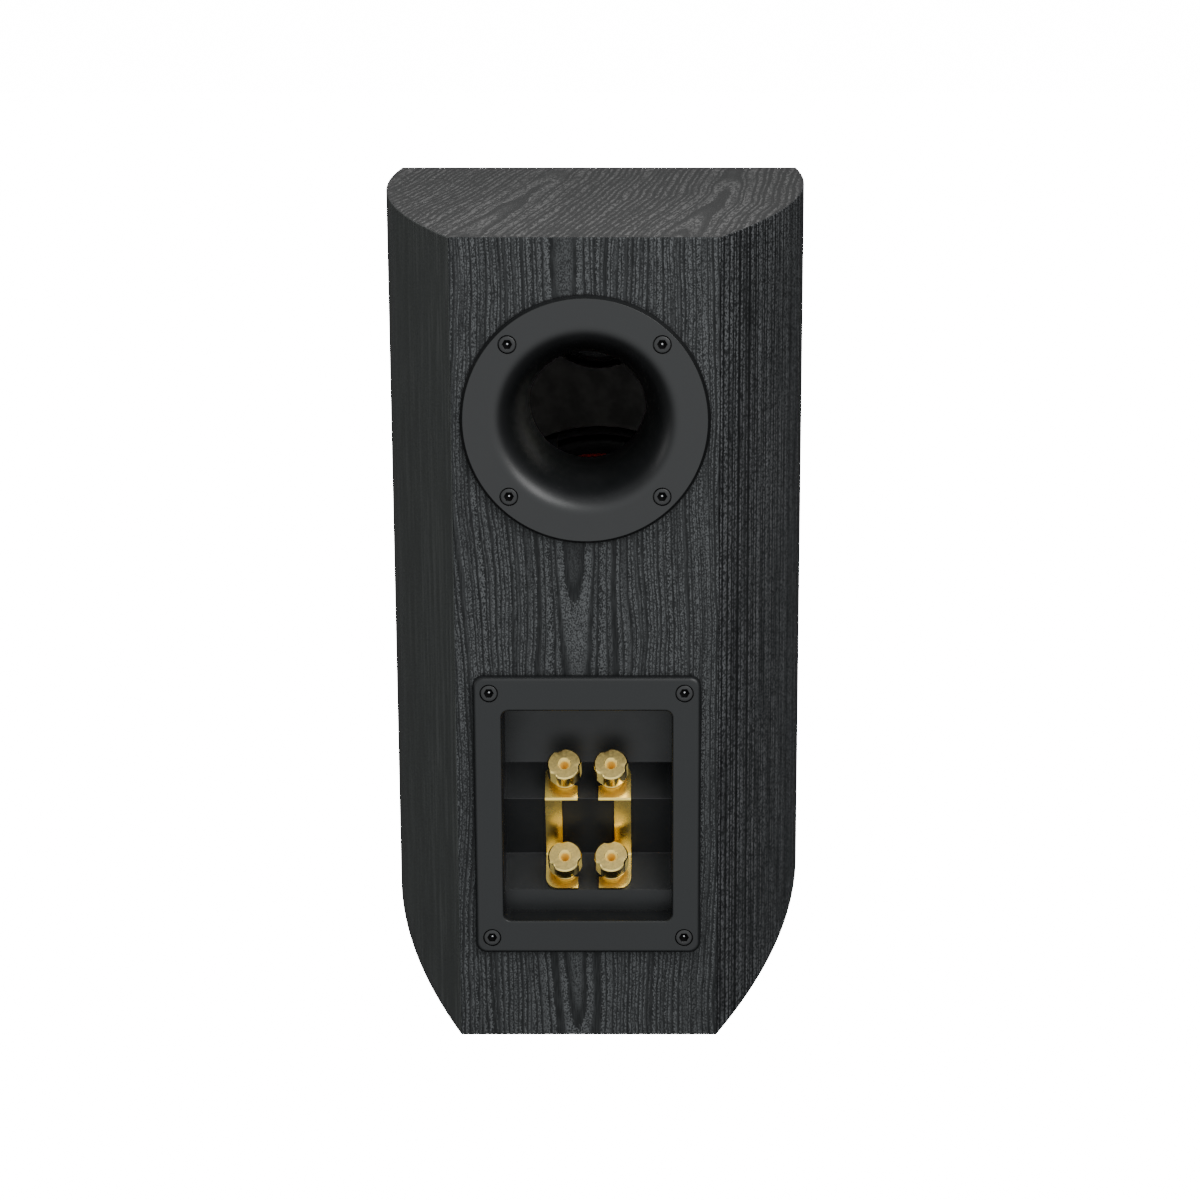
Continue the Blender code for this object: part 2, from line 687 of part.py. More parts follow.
def make_tweeter(parts, cutters, finishes):
    """A 25 mm dome driver. Heights are forward of the baffle's face."""
    here = at(0, FRONT_Y, TWEETER_Z) @ TO_FRONT
    m = MM
    dome = arc((0, -1.2 * m), (13.3 * m, 4.9 * m), 90, 0, 6)
    inside = arc((0, -1.4 * m), (12.7 * m, 4.4 * m), 0, 90, 6)
    dome[0] = (0, dome[0][1])
    inside[-1] = (0, inside[-1][1])
    shapes = {
        "tweeter_faceplate": ([
            (27 * m, 4 * m), (43.2 * m, 4 * m), (TWEETER_R, 3.2 * m), (TWEETER_R, GAP),
            (30.4 * m, GAP), (30.4 * m, -3 * m), (14.6 * m, -3 * m),
            (14.6 * m, -1.2 * m), (18 * m, 0.9 * m), (22.5 * m, 3.1 * m)], 32, "plastic"),
        "tweeter_dome": (dome + [(13.3 * m, -8 * m), (12.7 * m, -8 * m)] + inside,
                         20, "silk"),
        "tweeter_magnet": ([
            (0, -4.4 * m), (12 * m, -4.4 * m), (12 * m, -10 * m), (14.4 * m, -10 * m),
            (14.4 * m, -3.3 * m), (25 * m, -3.3 * m), (25 * m, -27 * m),
            (0, -27 * m)], 24, "ferrite"),
        "tweeter_rear_cup": ([
            (0, -38.5 * m), (21.3 * m, -38.5 * m), (22 * m, -27.3 * m),
            (24 * m, -27.3 * m), (24 * m, -38 * m), (22.5 * m, -40 * m),
            (0, -40 * m)], 24, "plastic"),
    }
    for name, (profile, steps, finish) in shapes.items():
        place(turned(name, profile, steps), parts, here, finishes[finish])
    faceplate = parts.objects["tweeter_faceplate"]
    drill(faceplate, tweeter_screw_places(), cutters, FRONT_SCREW)
    add_screws("tweeter_screw", tweeter_screw_places(), FRONT_SCREW, parts,
               finishes["steel"])


# ---------------------------------------------------------------- crossover and wiring

BOARD_SIZE = (64 * MM, 100 * MM, 2 * MM)
BOARD_Y = 40 * MM
BOARD_TOP = PLATE + GAP + BOARD_SIZE[2]


def make_crossover(parts, finishes):
    """The filter board on the cabinet floor, with its inductor and capacitor."""
    board = block("crossover_board", BOARD_SIZE)
    place(board, parts, at(0, BOARD_Y, BOARD_TOP - BOARD_SIZE[2] / 2), finishes["board"])
    coil_low = BOARD_TOP + GAP
    coil = turned("crossover_inductor", [
        (8 * MM, 18 * MM), (19 * MM, 18 * MM), (19 * MM, 0), (8 * MM, 0)], 20)
    place(coil, parts, at(-8 * MM, BOARD_Y - 26 * MM, coil_low), finishes["copper"])
    radius = 10 * MM
    can = rod("crossover_capacitor", radius, 34 * MM, 16)
    turn = Matrix.Rotation(math.radians(90), 4, "Y")
    place(can, parts, at(0, BOARD_Y + 24 * MM, coil_low + radius) @ turn,
          finishes["film"])


def make_wiring(parts, sleeve):
    """The sleeved leads from the filter board up the right wall to the tweeter."""
    route = [Vector(point) * MM for point in (
        (28, 60, 22), (34, 58, 32), (46, 45, 60), (52, 20, 110), (52, -10, 150),
        (52, -22, 184), (54, -60, 212), (48, -95, 238), (30, -112, 256))]
    curve = bpy.data.curves.new("driver_wiring", "CURVE")
    curve.dimensions = "3D"
    curve.bevel_depth = 2 * MM
    curve.bevel_resolution = 2
    curve.use_fill_caps = True
    spline = curve.splines.new("POLY")
    points = smooth_route(route, 3)
    spline.points.add(len(points) - 1)
    for target, point in zip(spline.points, points):
        target.co = (*point, 1)
    place(mesh_object("driver_wiring", curve), parts, None, sleeve)


def smooth_route(route, per_step):
    """Points along a Catmull-Rom curve through the route."""
    padded = [route[0]] + route + [route[-1]]
    points = []
    for a, b, c, d in zip(padded, padded[1:], padded[2:], padded[3:]):
        for i in range(per_step):
            t = i / per_step
            points.append(0.5 * (2 * b + (c - a) * t + (2 * a - 5 * b + 4 * c - d) * t ** 2
                                 + (3 * b - a - 3 * c + d) * t ** 3))
    return points + [route[-1]]


# ---------------------------------------------------------------- assembly

def make_finishes():
    return {
        "board_wood": material("cabinet_board", (0.035, 0.037, 0.038), 0.55),
        "plastic": material("black_plastic", (0.045, 0.046, 0.048), 0.42),
        "steel": material("black_screw", (0.02, 0.02, 0.02), 0.35, 0.6),
        "gold": material("gold_plate", (0.83, 0.62, 0.25), 0.22, 1.0),
        "frame": material("basket_paint", (0.03, 0.03, 0.032), 0.5, 0.4),
        "iron": material("plated_iron", (0.42, 0.42, 0.42), 0.4, 1.0),
        "ferrite": material("ferrite", (0.05, 0.05, 0.055), 0.6),
        "copper": material("copper", (0.72, 0.35, 0.2), 0.35, 1.0),
        "cone": material("cone", (0.25, 0.02, 0.02), 0.6),
        "cap": material("dust_cap", (0.03, 0.03, 0.03), 0.45),
        "rubber": material("surround_rubber", (0.015, 0.015, 0.015), 0.6),
        "cloth": material("spider_cloth", (0.45, 0.33, 0.15), 0.85),
        "silk": material("dome_silk", (0.02, 0.02, 0.022), 0.5),
        "board": material("circuit_board", (0.05, 0.2, 0.08), 0.5),
        "film": material("capacitor_film", (0.65, 0.5, 0.1), 0.4),
        "felt": material("wadding", (0.55, 0.55, 0.52), 0.95),
        "sleeve": material("wire_sleeve", (0.1, 0.02, 0.02), 0.5),
    }


def smooth_round_pieces(parts):
    for obj in parts.objects:
        if "panel" not in obj.name and "baffle" not in obj.name:
            smooth(obj.data)


def main():
    clear_scene()
    parts = new_collection("bookshelf_speaker")
    cutters = new_collection("cutters")
    finishes = make_finishes()
    make_cabinet(parts, cutters, finishes["board_wood"])
    make_brace(parts, cutters, finishes["board_wood"])
    make_wadding(parts, finishes["felt"])
    make_port(parts, cutters, finishes["plastic"], finishes["steel"])
    make_terminal_cup(parts, cutters, finishes["plastic"], finishes["steel"])
    make_posts(parts, cutters, finishes["gold"])
    make_straps(parts, cutters, finishes["gold"])
    make_woofer(parts, cutters, finishes)
    make_tweeter(parts, cutters, finishes)
    make_crossover(parts, finishes)
    make_wiring(parts, finishes["sleeve"])
    smooth_round_pieces(parts)


main()
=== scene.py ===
"""The looks of a bookshelf speaker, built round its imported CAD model. Metres, +Z up.

The cabinet's front faces -Y. Its back, with the port and the terminals, faces +Y.
"""
import math

import bmesh
import bpy
from mathutils import Matrix, Vector


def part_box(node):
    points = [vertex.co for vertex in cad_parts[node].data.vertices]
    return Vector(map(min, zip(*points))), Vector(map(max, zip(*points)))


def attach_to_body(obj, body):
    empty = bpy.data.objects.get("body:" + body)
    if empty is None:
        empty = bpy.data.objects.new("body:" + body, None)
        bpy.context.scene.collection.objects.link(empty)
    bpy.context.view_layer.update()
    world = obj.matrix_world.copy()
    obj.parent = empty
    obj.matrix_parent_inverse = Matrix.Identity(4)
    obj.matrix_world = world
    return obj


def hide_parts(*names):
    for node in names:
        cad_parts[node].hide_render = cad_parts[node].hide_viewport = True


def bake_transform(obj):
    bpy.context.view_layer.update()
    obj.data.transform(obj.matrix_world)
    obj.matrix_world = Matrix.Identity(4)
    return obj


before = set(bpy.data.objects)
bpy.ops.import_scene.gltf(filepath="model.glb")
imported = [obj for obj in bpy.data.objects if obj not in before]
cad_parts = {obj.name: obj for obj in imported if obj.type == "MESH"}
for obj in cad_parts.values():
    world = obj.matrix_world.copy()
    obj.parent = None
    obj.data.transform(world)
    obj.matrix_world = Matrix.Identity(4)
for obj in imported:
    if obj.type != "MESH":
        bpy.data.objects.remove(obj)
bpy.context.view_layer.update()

MM = 0.001


def cad_box(node):
    """A CAD node's lowest and highest corners."""
    low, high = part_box(node)
    return Vector(low), Vector(high)


def cad_centre(node):
    low, high = cad_box(node)
    return (low + high) / 2


# Cabinet, from the frame and the plan's arc
HALF_WIDEST = cad_box("bottom_panel")[1].x
HEIGHT = cad_box("top_panel")[1].z
FRONT_Y = cad_box("front_baffle")[0].y
BACK_Y = cad_box("back_panel")[1].y
SIDE_RADIUS = 803.6 * MM
WIDEST_FROM_BACK = 264 * MM
PROUD = cad_box("port_tube")[1].y - BACK_Y     # how far a plate stands off the cabinet
GAP = 0.3 * MM                                 # between neighbouring pieces

# Centres of the fittings
PORT_Z = cad_centre("port_tube").z
CUP_Z = cad_centre("terminal_cup").z
WOOFER_Z = cad_centre("woofer_magnet").z
TWEETER_Z = cad_centre("tweeter_magnet").z

# Directions: local +Z points out of the back, out of the front, or out along a post
TO_REAR = Matrix.Rotation(math.radians(-90), 4, "X")
TO_FRONT = Matrix.Rotation(math.radians(90), 4, "X")
POST_TILT = math.radians(45)
ALONG_POST = Matrix.Rotation(-POST_TILT, 4, "X")
PROFILE_TO_YZ = Matrix(((0, 0, 1, 0), (1, 0, 0, 0), (0, 1, 0, 0), (0, 0, 0, 1)))


def at(x=0.0, y=0.0, z=0.0):
    return Matrix.Translation((x, y, z))


def in_mm(*points):
    """Outline points given in millimetres."""
    return [(u * MM, v * MM) for u, v in points]


# ---- node materials

def node(tree, kind, inputs=None, **settings):
    """Add a node. An input is a value or another node's socket."""
    made = tree.nodes.new(kind)
    for key, value in settings.items():
        setattr(made, key, value)
    for key, value in (inputs or {}).items():
        if isinstance(value, bpy.types.NodeSocket):
            tree.links.new(value, made.inputs[key])
        else:
            made.inputs[key].default_value = value
    return made


def math_node(tree, operation, *values, clamp=False):
    made = node(tree, "ShaderNodeMath", dict(enumerate(values)), operation=operation)
    made.use_clamp = clamp
    return made.outputs[0]


def plus(tree, first, second, clamp=False):
    return math_node(tree, "ADD", first, second, clamp=clamp)


def minus(tree, first, second):
    return math_node(tree, "SUBTRACT", first, second)


def times(tree, first, second):
    return math_node(tree, "MULTIPLY", first, second)


def remap(tree, value, low, high, to_low=0.0, to_high=1.0, smooth=True):
    made = node(tree, "ShaderNodeMapRange", {
        "Value": value, "From Min": low, "From Max": high,
        "To Min": to_low, "To Max": to_high})
    made.interpolation_type = "SMOOTHSTEP" if smooth else "LINEAR"
    return made.outputs["Result"]


def mix_colour(tree, share, first, second):
    made = node(tree, "ShaderNodeMix", data_type="RGBA")
    for socket, value in ((made.inputs[0], share), (made.inputs[6], first),
                          (made.inputs[7], second)):
        if isinstance(value, bpy.types.NodeSocket):
            tree.links.new(value, socket)
        elif isinstance(value, tuple):
            socket.default_value = (*value, 1.0)
        else:
            socket.default_value = value
    return made.outputs[2]


def noise(tree, vector, scale, detail=2.0, rough=0.5):
    made = node(tree, "ShaderNodeTexNoise", {
        "Vector": vector, "Scale": scale, "Detail": detail, "Roughness": rough})
    return made.outputs["Fac"]


def new_material(name):
    material = bpy.data.materials.new(name)
    material.use_nodes = True
    tree = material.node_tree
    return material, tree, tree.nodes["Principled BSDF"]


def dress(tree, shader, tint, gloss, strength, distance, height):
    """Wire a colour, a roughness and a bump into a shader."""
    relief = node(tree, "ShaderNodeBump", {
        "Strength": strength, "Distance": distance, "Height": height})
    tree.links.new(tint, shader.inputs["Base Color"])
    tree.links.new(gloss, shader.inputs["Roughness"])
    tree.links.new(relief.outputs["Normal"], shader.inputs["Normal"])


def scaled_colour(colour, factor):
    return tuple(min(1.0, channel * factor) for channel in colour)


def finish(name, colour, roughness, metallic=0.0, mottle=0.12, mottle_scale=120.0,
           grain_scale=900.0, rough_spread=0.06, bump=0.1, bump_depth=0.05 * MM,
           **constants):
    """A surface with slow colour variation, uneven gloss and a fine bump."""
    material, tree, shader = new_material(name)
    where = node(tree, "ShaderNodeTexCoord").outputs["Object"]
    slow = noise(tree, where, mottle_scale, 3.0)
    fine = noise(tree, where, grain_scale, 3.0, 0.6)
    tint = mix_colour(tree, remap(tree, slow, 0.3, 0.7),
                      scaled_colour(colour, 1 - mottle), scaled_colour(colour, 1 + mottle))
    gloss = remap(tree, slow, 0.25, 0.75, roughness - rough_spread,
                  roughness + rough_spread, smooth=False)
    dress(tree, shader, tint, gloss, bump, bump_depth, fine)
    shader.inputs["Metallic"].default_value = metallic
    for key, value in constants.items():
        shader.inputs[key.replace("_", " ")].default_value = value
    return material


def grain_layer(tree, place, per_across, per_along, seed, detail=1.0):
    """Noise with its own frequency across and along the grain."""
    across, along = place
    where = node(tree, "ShaderNodeCombineXYZ", {
        "X": times(tree, across, per_across), "Y": times(tree, along, per_along),
        "Z": seed}).outputs[0]
    return noise(tree, where, 1.0, detail)


def stray(tree, place, per_across, per_along, amount, seed, detail=1.0):
    """A slow sideways shift of the grain."""
    value = grain_layer(tree, place, per_across, per_along, seed, detail)
    return times(tree, minus(tree, value, 0.5), amount)


def growth_years(tree, place, pith, depth, taper, ring, wander, ripple, seed, mirror):
    """How many rings lie between each point and the pith line."""
    across, along = place
    side = minus(tree, across, pith)
    for wave in (stray(tree, place, 14, 7, 16 * MM * wander, seed + 1.3),
                 stray(tree, place, 60, 22, 3.6 * MM * wander, seed + 5.1, 2.0),
                 stray(tree, place, 420, 110, 1.3 * MM * ripple, seed + 9.7, 2.0)):
        side = plus(tree, side, wave)
    if mirror:
        side = math_node(tree, "PINGPONG", side, mirror)
    under = minus(tree, depth, times(tree, along, taper))
    under = plus(tree, under, stray(tree, place, 18, 9, 9 * MM * wander, seed + 12.4))
    radius = math_node(tree, "SQRT", plus(
        tree, times(tree, side, side), times(tree, under, under)))
    years = math_node(tree, "DIVIDE", radius, ring)
    uneven = grain_layer(tree, (years, along), 0.8, 0.5, seed + 3.3)
    return plus(tree, years, times(tree, uneven, 2.2))


def ash_vinyl(name, dark, light, pith, depth, taper, ring, wander=1.0, seed=0.0,
              fill=0.55, pore=(2100.0, 1300.0), ripple=1.0, fray=0.55, shine=0.12,
              mirror=None):
    """Black ash vinyl from growth rings round a pith line under the surface.

    pith: where the pith runs, across the grain. depth: how far it lies under the surface
    at height 0. taper: how fast it nears the surface with height, which makes the
    cathedrals. ring: the width of a year's growth. wander: how far the grain bends.
    fill: the open-pored share of a ring. pore: how many pores there are in a metre,
    across and along the grain. ripple: how far a ring strays sideways over a centimetre.
    fray: how ragged a ring's edges are. mirror: half the distance between two sheets'
    piths.
    """
    material, tree, shader = new_material(name)
    where = node(tree, "ShaderNodeUVMap", uv_map="grain").outputs["UV"]
    parts = node(tree, "ShaderNodeSeparateXYZ", {"Vector": where})
    place = (parts.outputs["X"], parts.outputs["Y"])
    years = growth_years(tree, place, pith, depth, taper, ring, wander, ripple, seed, mirror)
    pores = grain_layer(tree, place, pore[0], pore[1], seed + 7.7)
    years = plus(tree, years, times(tree, minus(tree, pores, 0.5), fray))
    phase = math_node(tree, "FRACT", years)
    band = times(tree, remap(tree, phase, 0.0, 0.12),
                 remap(tree, phase, fill, fill + 0.25, 1.0, 0.0))
    strong = grain_layer(tree, (years, place[1]), 1.1, 16.0, seed + 6.1, 2.0)
    band = times(tree, band, remap(tree, strong, 0.25, 0.6, 0.25, 1.0))
    dots = remap(tree, pores, 0.40, 0.62, 0.12, 1.0)
    fibres = remap(tree, grain_layer(tree, place, 2300, 160, seed + 4.2), 0.35, 0.7,
                   0.0, 0.16)
    share = plus(tree, times(tree, band, dots), fibres, clamp=True)
    gloss = remap(tree, share, 0.0, 1.0, 0.44, 0.6, smooth=False)
    dress(tree, shader, mix_colour(tree, share, dark, light), gloss, 0.5, 0.08 * MM, share)
    shader.inputs["Specular IOR Level"].default_value = shine
    return material


def woven(name, colour, second, pitch, roughness):
    """A plain weave across the piece's own X and Y."""
    material, tree, shader = new_material(name)
    where = node(tree, "ShaderNodeTexCoord").outputs["Object"]
    parts = node(tree, "ShaderNodeSeparateXYZ", {"Vector": where})
    rows, columns = [math_node(tree, "SINE", times(tree, parts.outputs[axis], math.pi / pitch))
                     for axis in "XY"]
    over = times(tree, rows, columns)
    height = math_node(tree, "ABSOLUTE", over)
    checker = remap(tree, over, -0.15, 0.15)
    uneven = noise(tree, where, 260.0, 3.0)
    tint = mix_colour(tree, remap(tree, uneven, 0.3, 0.8, 0.0, 0.35),
                      mix_colour(tree, checker, colour, second), scaled_colour(colour, 0.4))
    gloss = remap(tree, height, 0.0, 1.0, roughness + 0.1, roughness - 0.05, smooth=False)
    dress(tree, shader, tint, gloss, 0.5, 0.25 * MM, height)
    return material


# ---- mesh helpers

def mesh_object(name, shape, materials=(), matrix=None):
    """Turn a bmesh into an object at its place."""
    mesh = bpy.data.meshes.new(name)
    shape.to_mesh(mesh)
    shape.free()
    obj = bpy.data.objects.new(name, mesh)
    bpy.context.scene.collection.objects.link(obj)
    for material in materials:
        mesh.materials.append(material)
    if matrix is not None:
        obj.matrix_world = matrix
    return obj


def smooth(obj, degrees=32):
    obj.data.shade_smooth()
    obj.data.set_sharp_from_angle(angle=math.radians(degrees))
    return obj


def swept(name, rings, materials=(), matrix=None, loop=False):
    """A closed body through rings with the same number of points."""
    shape = bmesh.new()
    rows = [[shape.verts.new(point) for point in ring] for ring in rings]
    count = len(rows[0])
    pairs = list(zip(rows, rows[1:]))
    if loop:
        pairs.append((rows[-1], rows[0]))
    for first, second in pairs:
        for i in range(count):
            j = (i + 1) % count
            shape.faces.new((first[i], first[j], second[j], second[i]))
    if not loop:
        shape.faces.new(rows[0])
        shape.faces.new(rows[-1])
    bmesh.ops.recalc_face_normals(shape, faces=shape.faces)
    return mesh_object(name, shape, materials, matrix)


def circle(radius, height, steps, rule=None):
    """A ring about Z. rule(angle, radius) can change the radius round the ring."""
    points = []
    for i in range(steps):
        angle = 2 * math.pi * i / steps
        out = rule(angle, radius) if rule else radius
        points.append((out * math.cos(angle), out * math.sin(angle), height))
    return points


def lathe(name, profile, steps, materials=(), matrix=None, loop=True):
    """A turned piece from (radius, height) points."""
    rings = [circle(radius, height, steps) for radius, height in profile]
    return smooth(swept(name, rings, materials, matrix, loop))


def arc(centre, radii, start, end, count):
    """Points on an ellipse from angle start to end, in degrees."""
    points = []
    for i in range(count + 1):
        angle = math.radians(start + (end - start) * i / count)
        points.append((centre[0] + radii[0] * math.cos(angle),
                       centre[1] + radii[1] * math.sin(angle)))
    return points


def filleted(line, radius, steps=4, closed=False):
    """The line with its corners rounded."""
    points = [Vector(point) for point in line]
    count = len(points)
    made = []
    for i, point in enumerate(points):
        if not closed and i in (0, count - 1):
            made.append(tuple(point))
            continue
        before = (points[i - 1] - point).normalized()
        after = (points[(i + 1) % count] - point).normalized()
        half = before.angle(after) / 2
        reach = min(radius / math.tan(half), 0.45 * (points[i - 1] - point).length,
                    0.45 * (points[(i + 1) % count] - point).length)
        if math.degrees(half) > 85:
            made.append(tuple(point))
            continue
        start, end = point + before * reach, point + after * reach
        for k in range(steps + 1):
            t = k / steps
            spot = start * (1 - t) ** 2 + point * 2 * t * (1 - t) + end * t ** 2
            made.append(tuple(spot))
    return made


def offset_line(line, distance):
    """The line moved sideways, to the left of its direction, with mitred corners."""
    points = [Vector(point) for point in line]
    steps = [(b - a).normalized() for a, b in zip(points, points[1:])]
    sides = [Vector((-step.y, step.x)) for step in steps]
    moved = [points[0] + sides[0] * distance]
    for point, before, after in zip(points[1:-1], sides, sides[1:]):
        bisector = (before + after).normalized()
        moved.append(point + bisector * distance / bisector.dot(before))
    moved.append(points[-1] + sides[-1] * distance)
    return [tuple(point) for point in moved]


def prism(name, outline, low, high, matrix=None, materials=()):
    """A flat outline made thick, from low to high along its Z."""
    rings = [[(u, v, level) for u, v in outline] for level in (low, high)]
    return swept(name, rings, materials, matrix)


def rounded_rectangle(width, height, corner, steps=8):
    """Points round a rectangle with round corners, about its centre."""
    points = []
    x, y = width / 2 - corner, height / 2 - corner
    for cx, cy, start in ((x, y, 0), (-x, y, 90), (-x, -y, 180), (x, -y, 270)):
        points += arc((cx, cy), (corner, corner), start, start + 90, steps)
    return points


def boolean(target, cutter, operation="DIFFERENCE"):
    """Cut or join at once, and remove the cutter."""
    modifier = target.modifiers.new("boolean", "BOOLEAN")
    modifier.operation = operation
    modifier.solver = "EXACT"
    modifier.object = cutter
    bake(target)
    bpy.data.objects.remove(cutter, do_unlink=True)
    return target


def bake(obj):
    """Apply an object's modifiers."""
    bpy.context.view_layer.update()
    depsgraph = bpy.context.evaluated_depsgraph_get()
    mesh = bpy.data.meshes.new_from_object(obj.evaluated_get(depsgraph))
    obj.modifiers.clear()
    obj.data = mesh
    return obj


def soften(obj, width, degrees):
    """Round an object's sharp edges."""
    bevel = obj.modifiers.new("bevel", "BEVEL")
    bevel.width = width
    bevel.segments = 2
    bevel.limit_method = "ANGLE"
    bevel.angle_limit = math.radians(degrees)
    bake(obj)
    return smooth(obj)


def even_normals(obj):
    """Keep flat faces flat beside small rounded edges."""
    weighted = obj.modifiers.new("normals", "WEIGHTED_NORMAL")
    weighted.keep_sharp = True
    weighted.weight = 60
    return obj


def attach(obj, body, slot, *nodes):
    """Ride on a body and stand for CAD nodes. The slot is not used."""
    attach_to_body(obj, body)
    if nodes:
        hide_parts(*nodes)
    return obj


# ---- finishes

VINYL_BACK = ash_vinyl("vinyl_back", (0.0090, 0.0096, 0.0101), (0.080, 0.083, 0.085),
                       pith=6 * MM, depth=20 * MM, taper=0.03, ring=1.62 * MM,
                       seed=2.0, ripple=0.8)
VINYL_FRONT = ash_vinyl("vinyl_front", (0.0090, 0.0096, 0.0101), (0.096, 0.099, 0.101),
                        pith=-4 * MM, depth=24 * MM, taper=0.03, ring=1.9 * MM,
                        seed=47.0, ripple=0.8)
# The +X side's copy of the vinyl is lighter and flatter than the others: painted light for the
# side that the lamps light least.
VINYL_LEFT_PAINTED_LIGHT = ash_vinyl("vinyl_left_painted_light", (0.060, 0.063, 0.0605), (0.092, 0.096, 0.093),
                       pith=500 * MM, depth=40 * MM, taper=0.0, ring=5 * MM, wander=0.3,
                       seed=11.0, pore=(500.0, 30.0), ripple=0.2, fray=0.2)
VINYL_RIGHT = ash_vinyl("vinyl_right", (0.0020, 0.0023, 0.0028), (0.150, 0.155, 0.160),
                        pith=400 * MM, depth=30 * MM, taper=0.005, ring=5.2 * MM,
                        wander=0.1, seed=23.0, fill=0.5, pore=(700.0, 1100.0),
                        ripple=0.05, fray=0.06)
VINYL_TOP = ash_vinyl("vinyl_top", (0.040, 0.0396, 0.0392), (0.118, 0.1165, 0.115),
                      pith=30 * MM, depth=12 * MM, taper=0.02, ring=2.8 * MM, wander=0.8,
                      seed=31.0, fill=0.45, pore=(1200.0, 160.0), ripple=0.35,
                      fray=0.25, mirror=42 * MM, shine=0.06)
VINYLS = (VINYL_BACK, VINYL_FRONT, VINYL_LEFT_PAINTED_LIGHT, VINYL_RIGHT, VINYL_TOP)
BACK, FRONT, LEFT, RIGHT, TOP = range(len(VINYLS))
BOARD_INSIDE = finish("board_inside", (0.035, 0.034, 0.033), 0.75, mottle=0.25)
BLACK_PLASTIC = finish("black_plastic", (0.0085, 0.0092, 0.0098), 0.40, mottle=0.05,
                       rough_spread=0.03, bump=0.10, grain_scale=2600.0,
                       bump_depth=0.03 * MM, Specular_IOR_Level=0.42)
PORT_PLASTIC = finish("port_plastic", (0.0040, 0.0044, 0.0048), 0.40, mottle=0.05,
                      rough_spread=0.03, bump=0.10, grain_scale=2600.0,
                      bump_depth=0.03 * MM, Specular_IOR_Level=0.6)
BLACK_SCREW = finish("black_screw", (0.005, 0.0053, 0.0056), 0.36, mottle=0.2,
                     grain_scale=1800.0, bump=0.15, Specular_IOR_Level=0.6)
# The socket's walls are a near-black matt copy of the screw's finish, which is painted shade.
# Its drill point is bright metal, which is a painted glint.
SOCKET_PAINTED_SHADE = finish("socket_painted_shade", (0.0015, 0.0015, 0.0016), 0.7, mottle=0.1,
                     Specular_IOR_Level=0.1)
SOCKET_PAINTED_GLINT = finish("socket_painted_glint", (0.55, 0.55, 0.56), 0.3, 1.0, bump=0.1)
GOLD_FACE = finish("gold_face", (0.82, 0.62, 0.21), 0.36, 1.0, mottle=0.10,
                   mottle_scale=900.0, grain_scale=5200.0, bump=0.25)
GOLD = finish("gold", (1.0, 0.76, 0.25), 0.15, 1.0, mottle=0.03, mottle_scale=220.0,
              rough_spread=0.03, bump=0.04)
GOLD_SHEET = finish("gold_sheet", (1.0, 0.74, 0.20), 0.26, 1.0, mottle=0.03,
                    mottle_scale=220.0, rough_spread=0.03, bump=0.04)
# A mostly matt, light copy of the plated gold: painted light on the flutes, the neck and the
# washer.
GOLD_PAINTED_LIGHT = finish("gold_painted_light", (1.0, 0.76, 0.22), 0.30, 0.20, mottle=0.03)
# A mostly matt, light copy of the plated gold for the stud's plug hole: painted light in the
# hole.
BORE_PAINTED_LIGHT = finish("bore_painted_light", (1.0, 0.70, 0.13), 0.40, 0.25, mottle=0.03)
BASKET_PAINT = finish("basket_paint", (0.02, 0.02, 0.021), 0.45, mottle=0.1, bump=0.2)
PLATED_IRON = finish("plated_iron", (0.40, 0.40, 0.39), 0.42, 1.0, mottle=0.15)
FERRITE = finish("ferrite", (0.04, 0.04, 0.043), 0.6, mottle=0.2, bump=0.35)
COPPER = finish("copper_wire", (0.65, 0.28, 0.14), 0.32, 1.0, mottle=0.15)
RUBBER = finish("surround_rubber", (0.012, 0.012, 0.012), 0.48, mottle=0.15, bump=0.15)
SPIDER_CLOTH = woven("spider_cloth", (0.42, 0.27, 0.10), (0.32, 0.2, 0.07), 0.9 * MM, 0.8)
CONE_WEAVE = woven("cone_weave", (0.20, 0.012, 0.010), (0.11, 0.006, 0.006), 1.6 * MM, 0.42)
DUST_CAP = finish("dust_cap", (0.02, 0.02, 0.02), 0.38, mottle=0.1, bump=0.1)
DOME_SILK = woven("dome_silk", (0.016, 0.016, 0.018), (0.009, 0.009, 0.010), 0.35 * MM, 0.45)
CIRCUIT_BOARD = finish("circuit_board", (0.02, 0.12, 0.045), 0.4, mottle=0.2)
CAPACITOR = finish("capacitor_film", (0.62, 0.42, 0.06), 0.3, mottle=0.08)
WADDING = finish("wadding", (0.55, 0.54, 0.50), 0.95, mottle=0.2, mottle_scale=60.0,
                 grain_scale=400.0, bump=1.0, bump_depth=1.5 * MM)
WIRE_SLEEVE = woven("wire_sleeve", (0.09, 0.01, 0.01), (0.02, 0.02, 0.02), 0.8 * MM, 0.6)
FIBREBOARD = finish("fibreboard", (0.05, 0.045, 0.04), 0.85, mottle=0.3, bump=0.4)


# ---- cabinet wrap

WRAP_OUT = 0.26 * MM       # the wrap's outer face stands this far off the boards
WRAP_THICK = 0.18 * MM
WRAP_EDGE = 0.7 * MM       # the radius of the cabinet's edges
SIDE_STEPS = 64
CUT_REACH = 5 * MM         # how far a cutter reaches to each side of the wrap
PORT_HOLE_R = 44 * MM
WOOFER_HOLE_R = 78 * MM
TWEETER_HOLE_R = 36 * MM
CUP_HOLE = (82 * MM, 107 * MM, 5 * MM)     # width, height and corner


def half_width(y):
    along = y - (BACK_Y - WIDEST_FROM_BACK)
    return HALF_WIDEST - SIDE_RADIUS + math.sqrt(SIDE_RADIUS ** 2 - along ** 2)


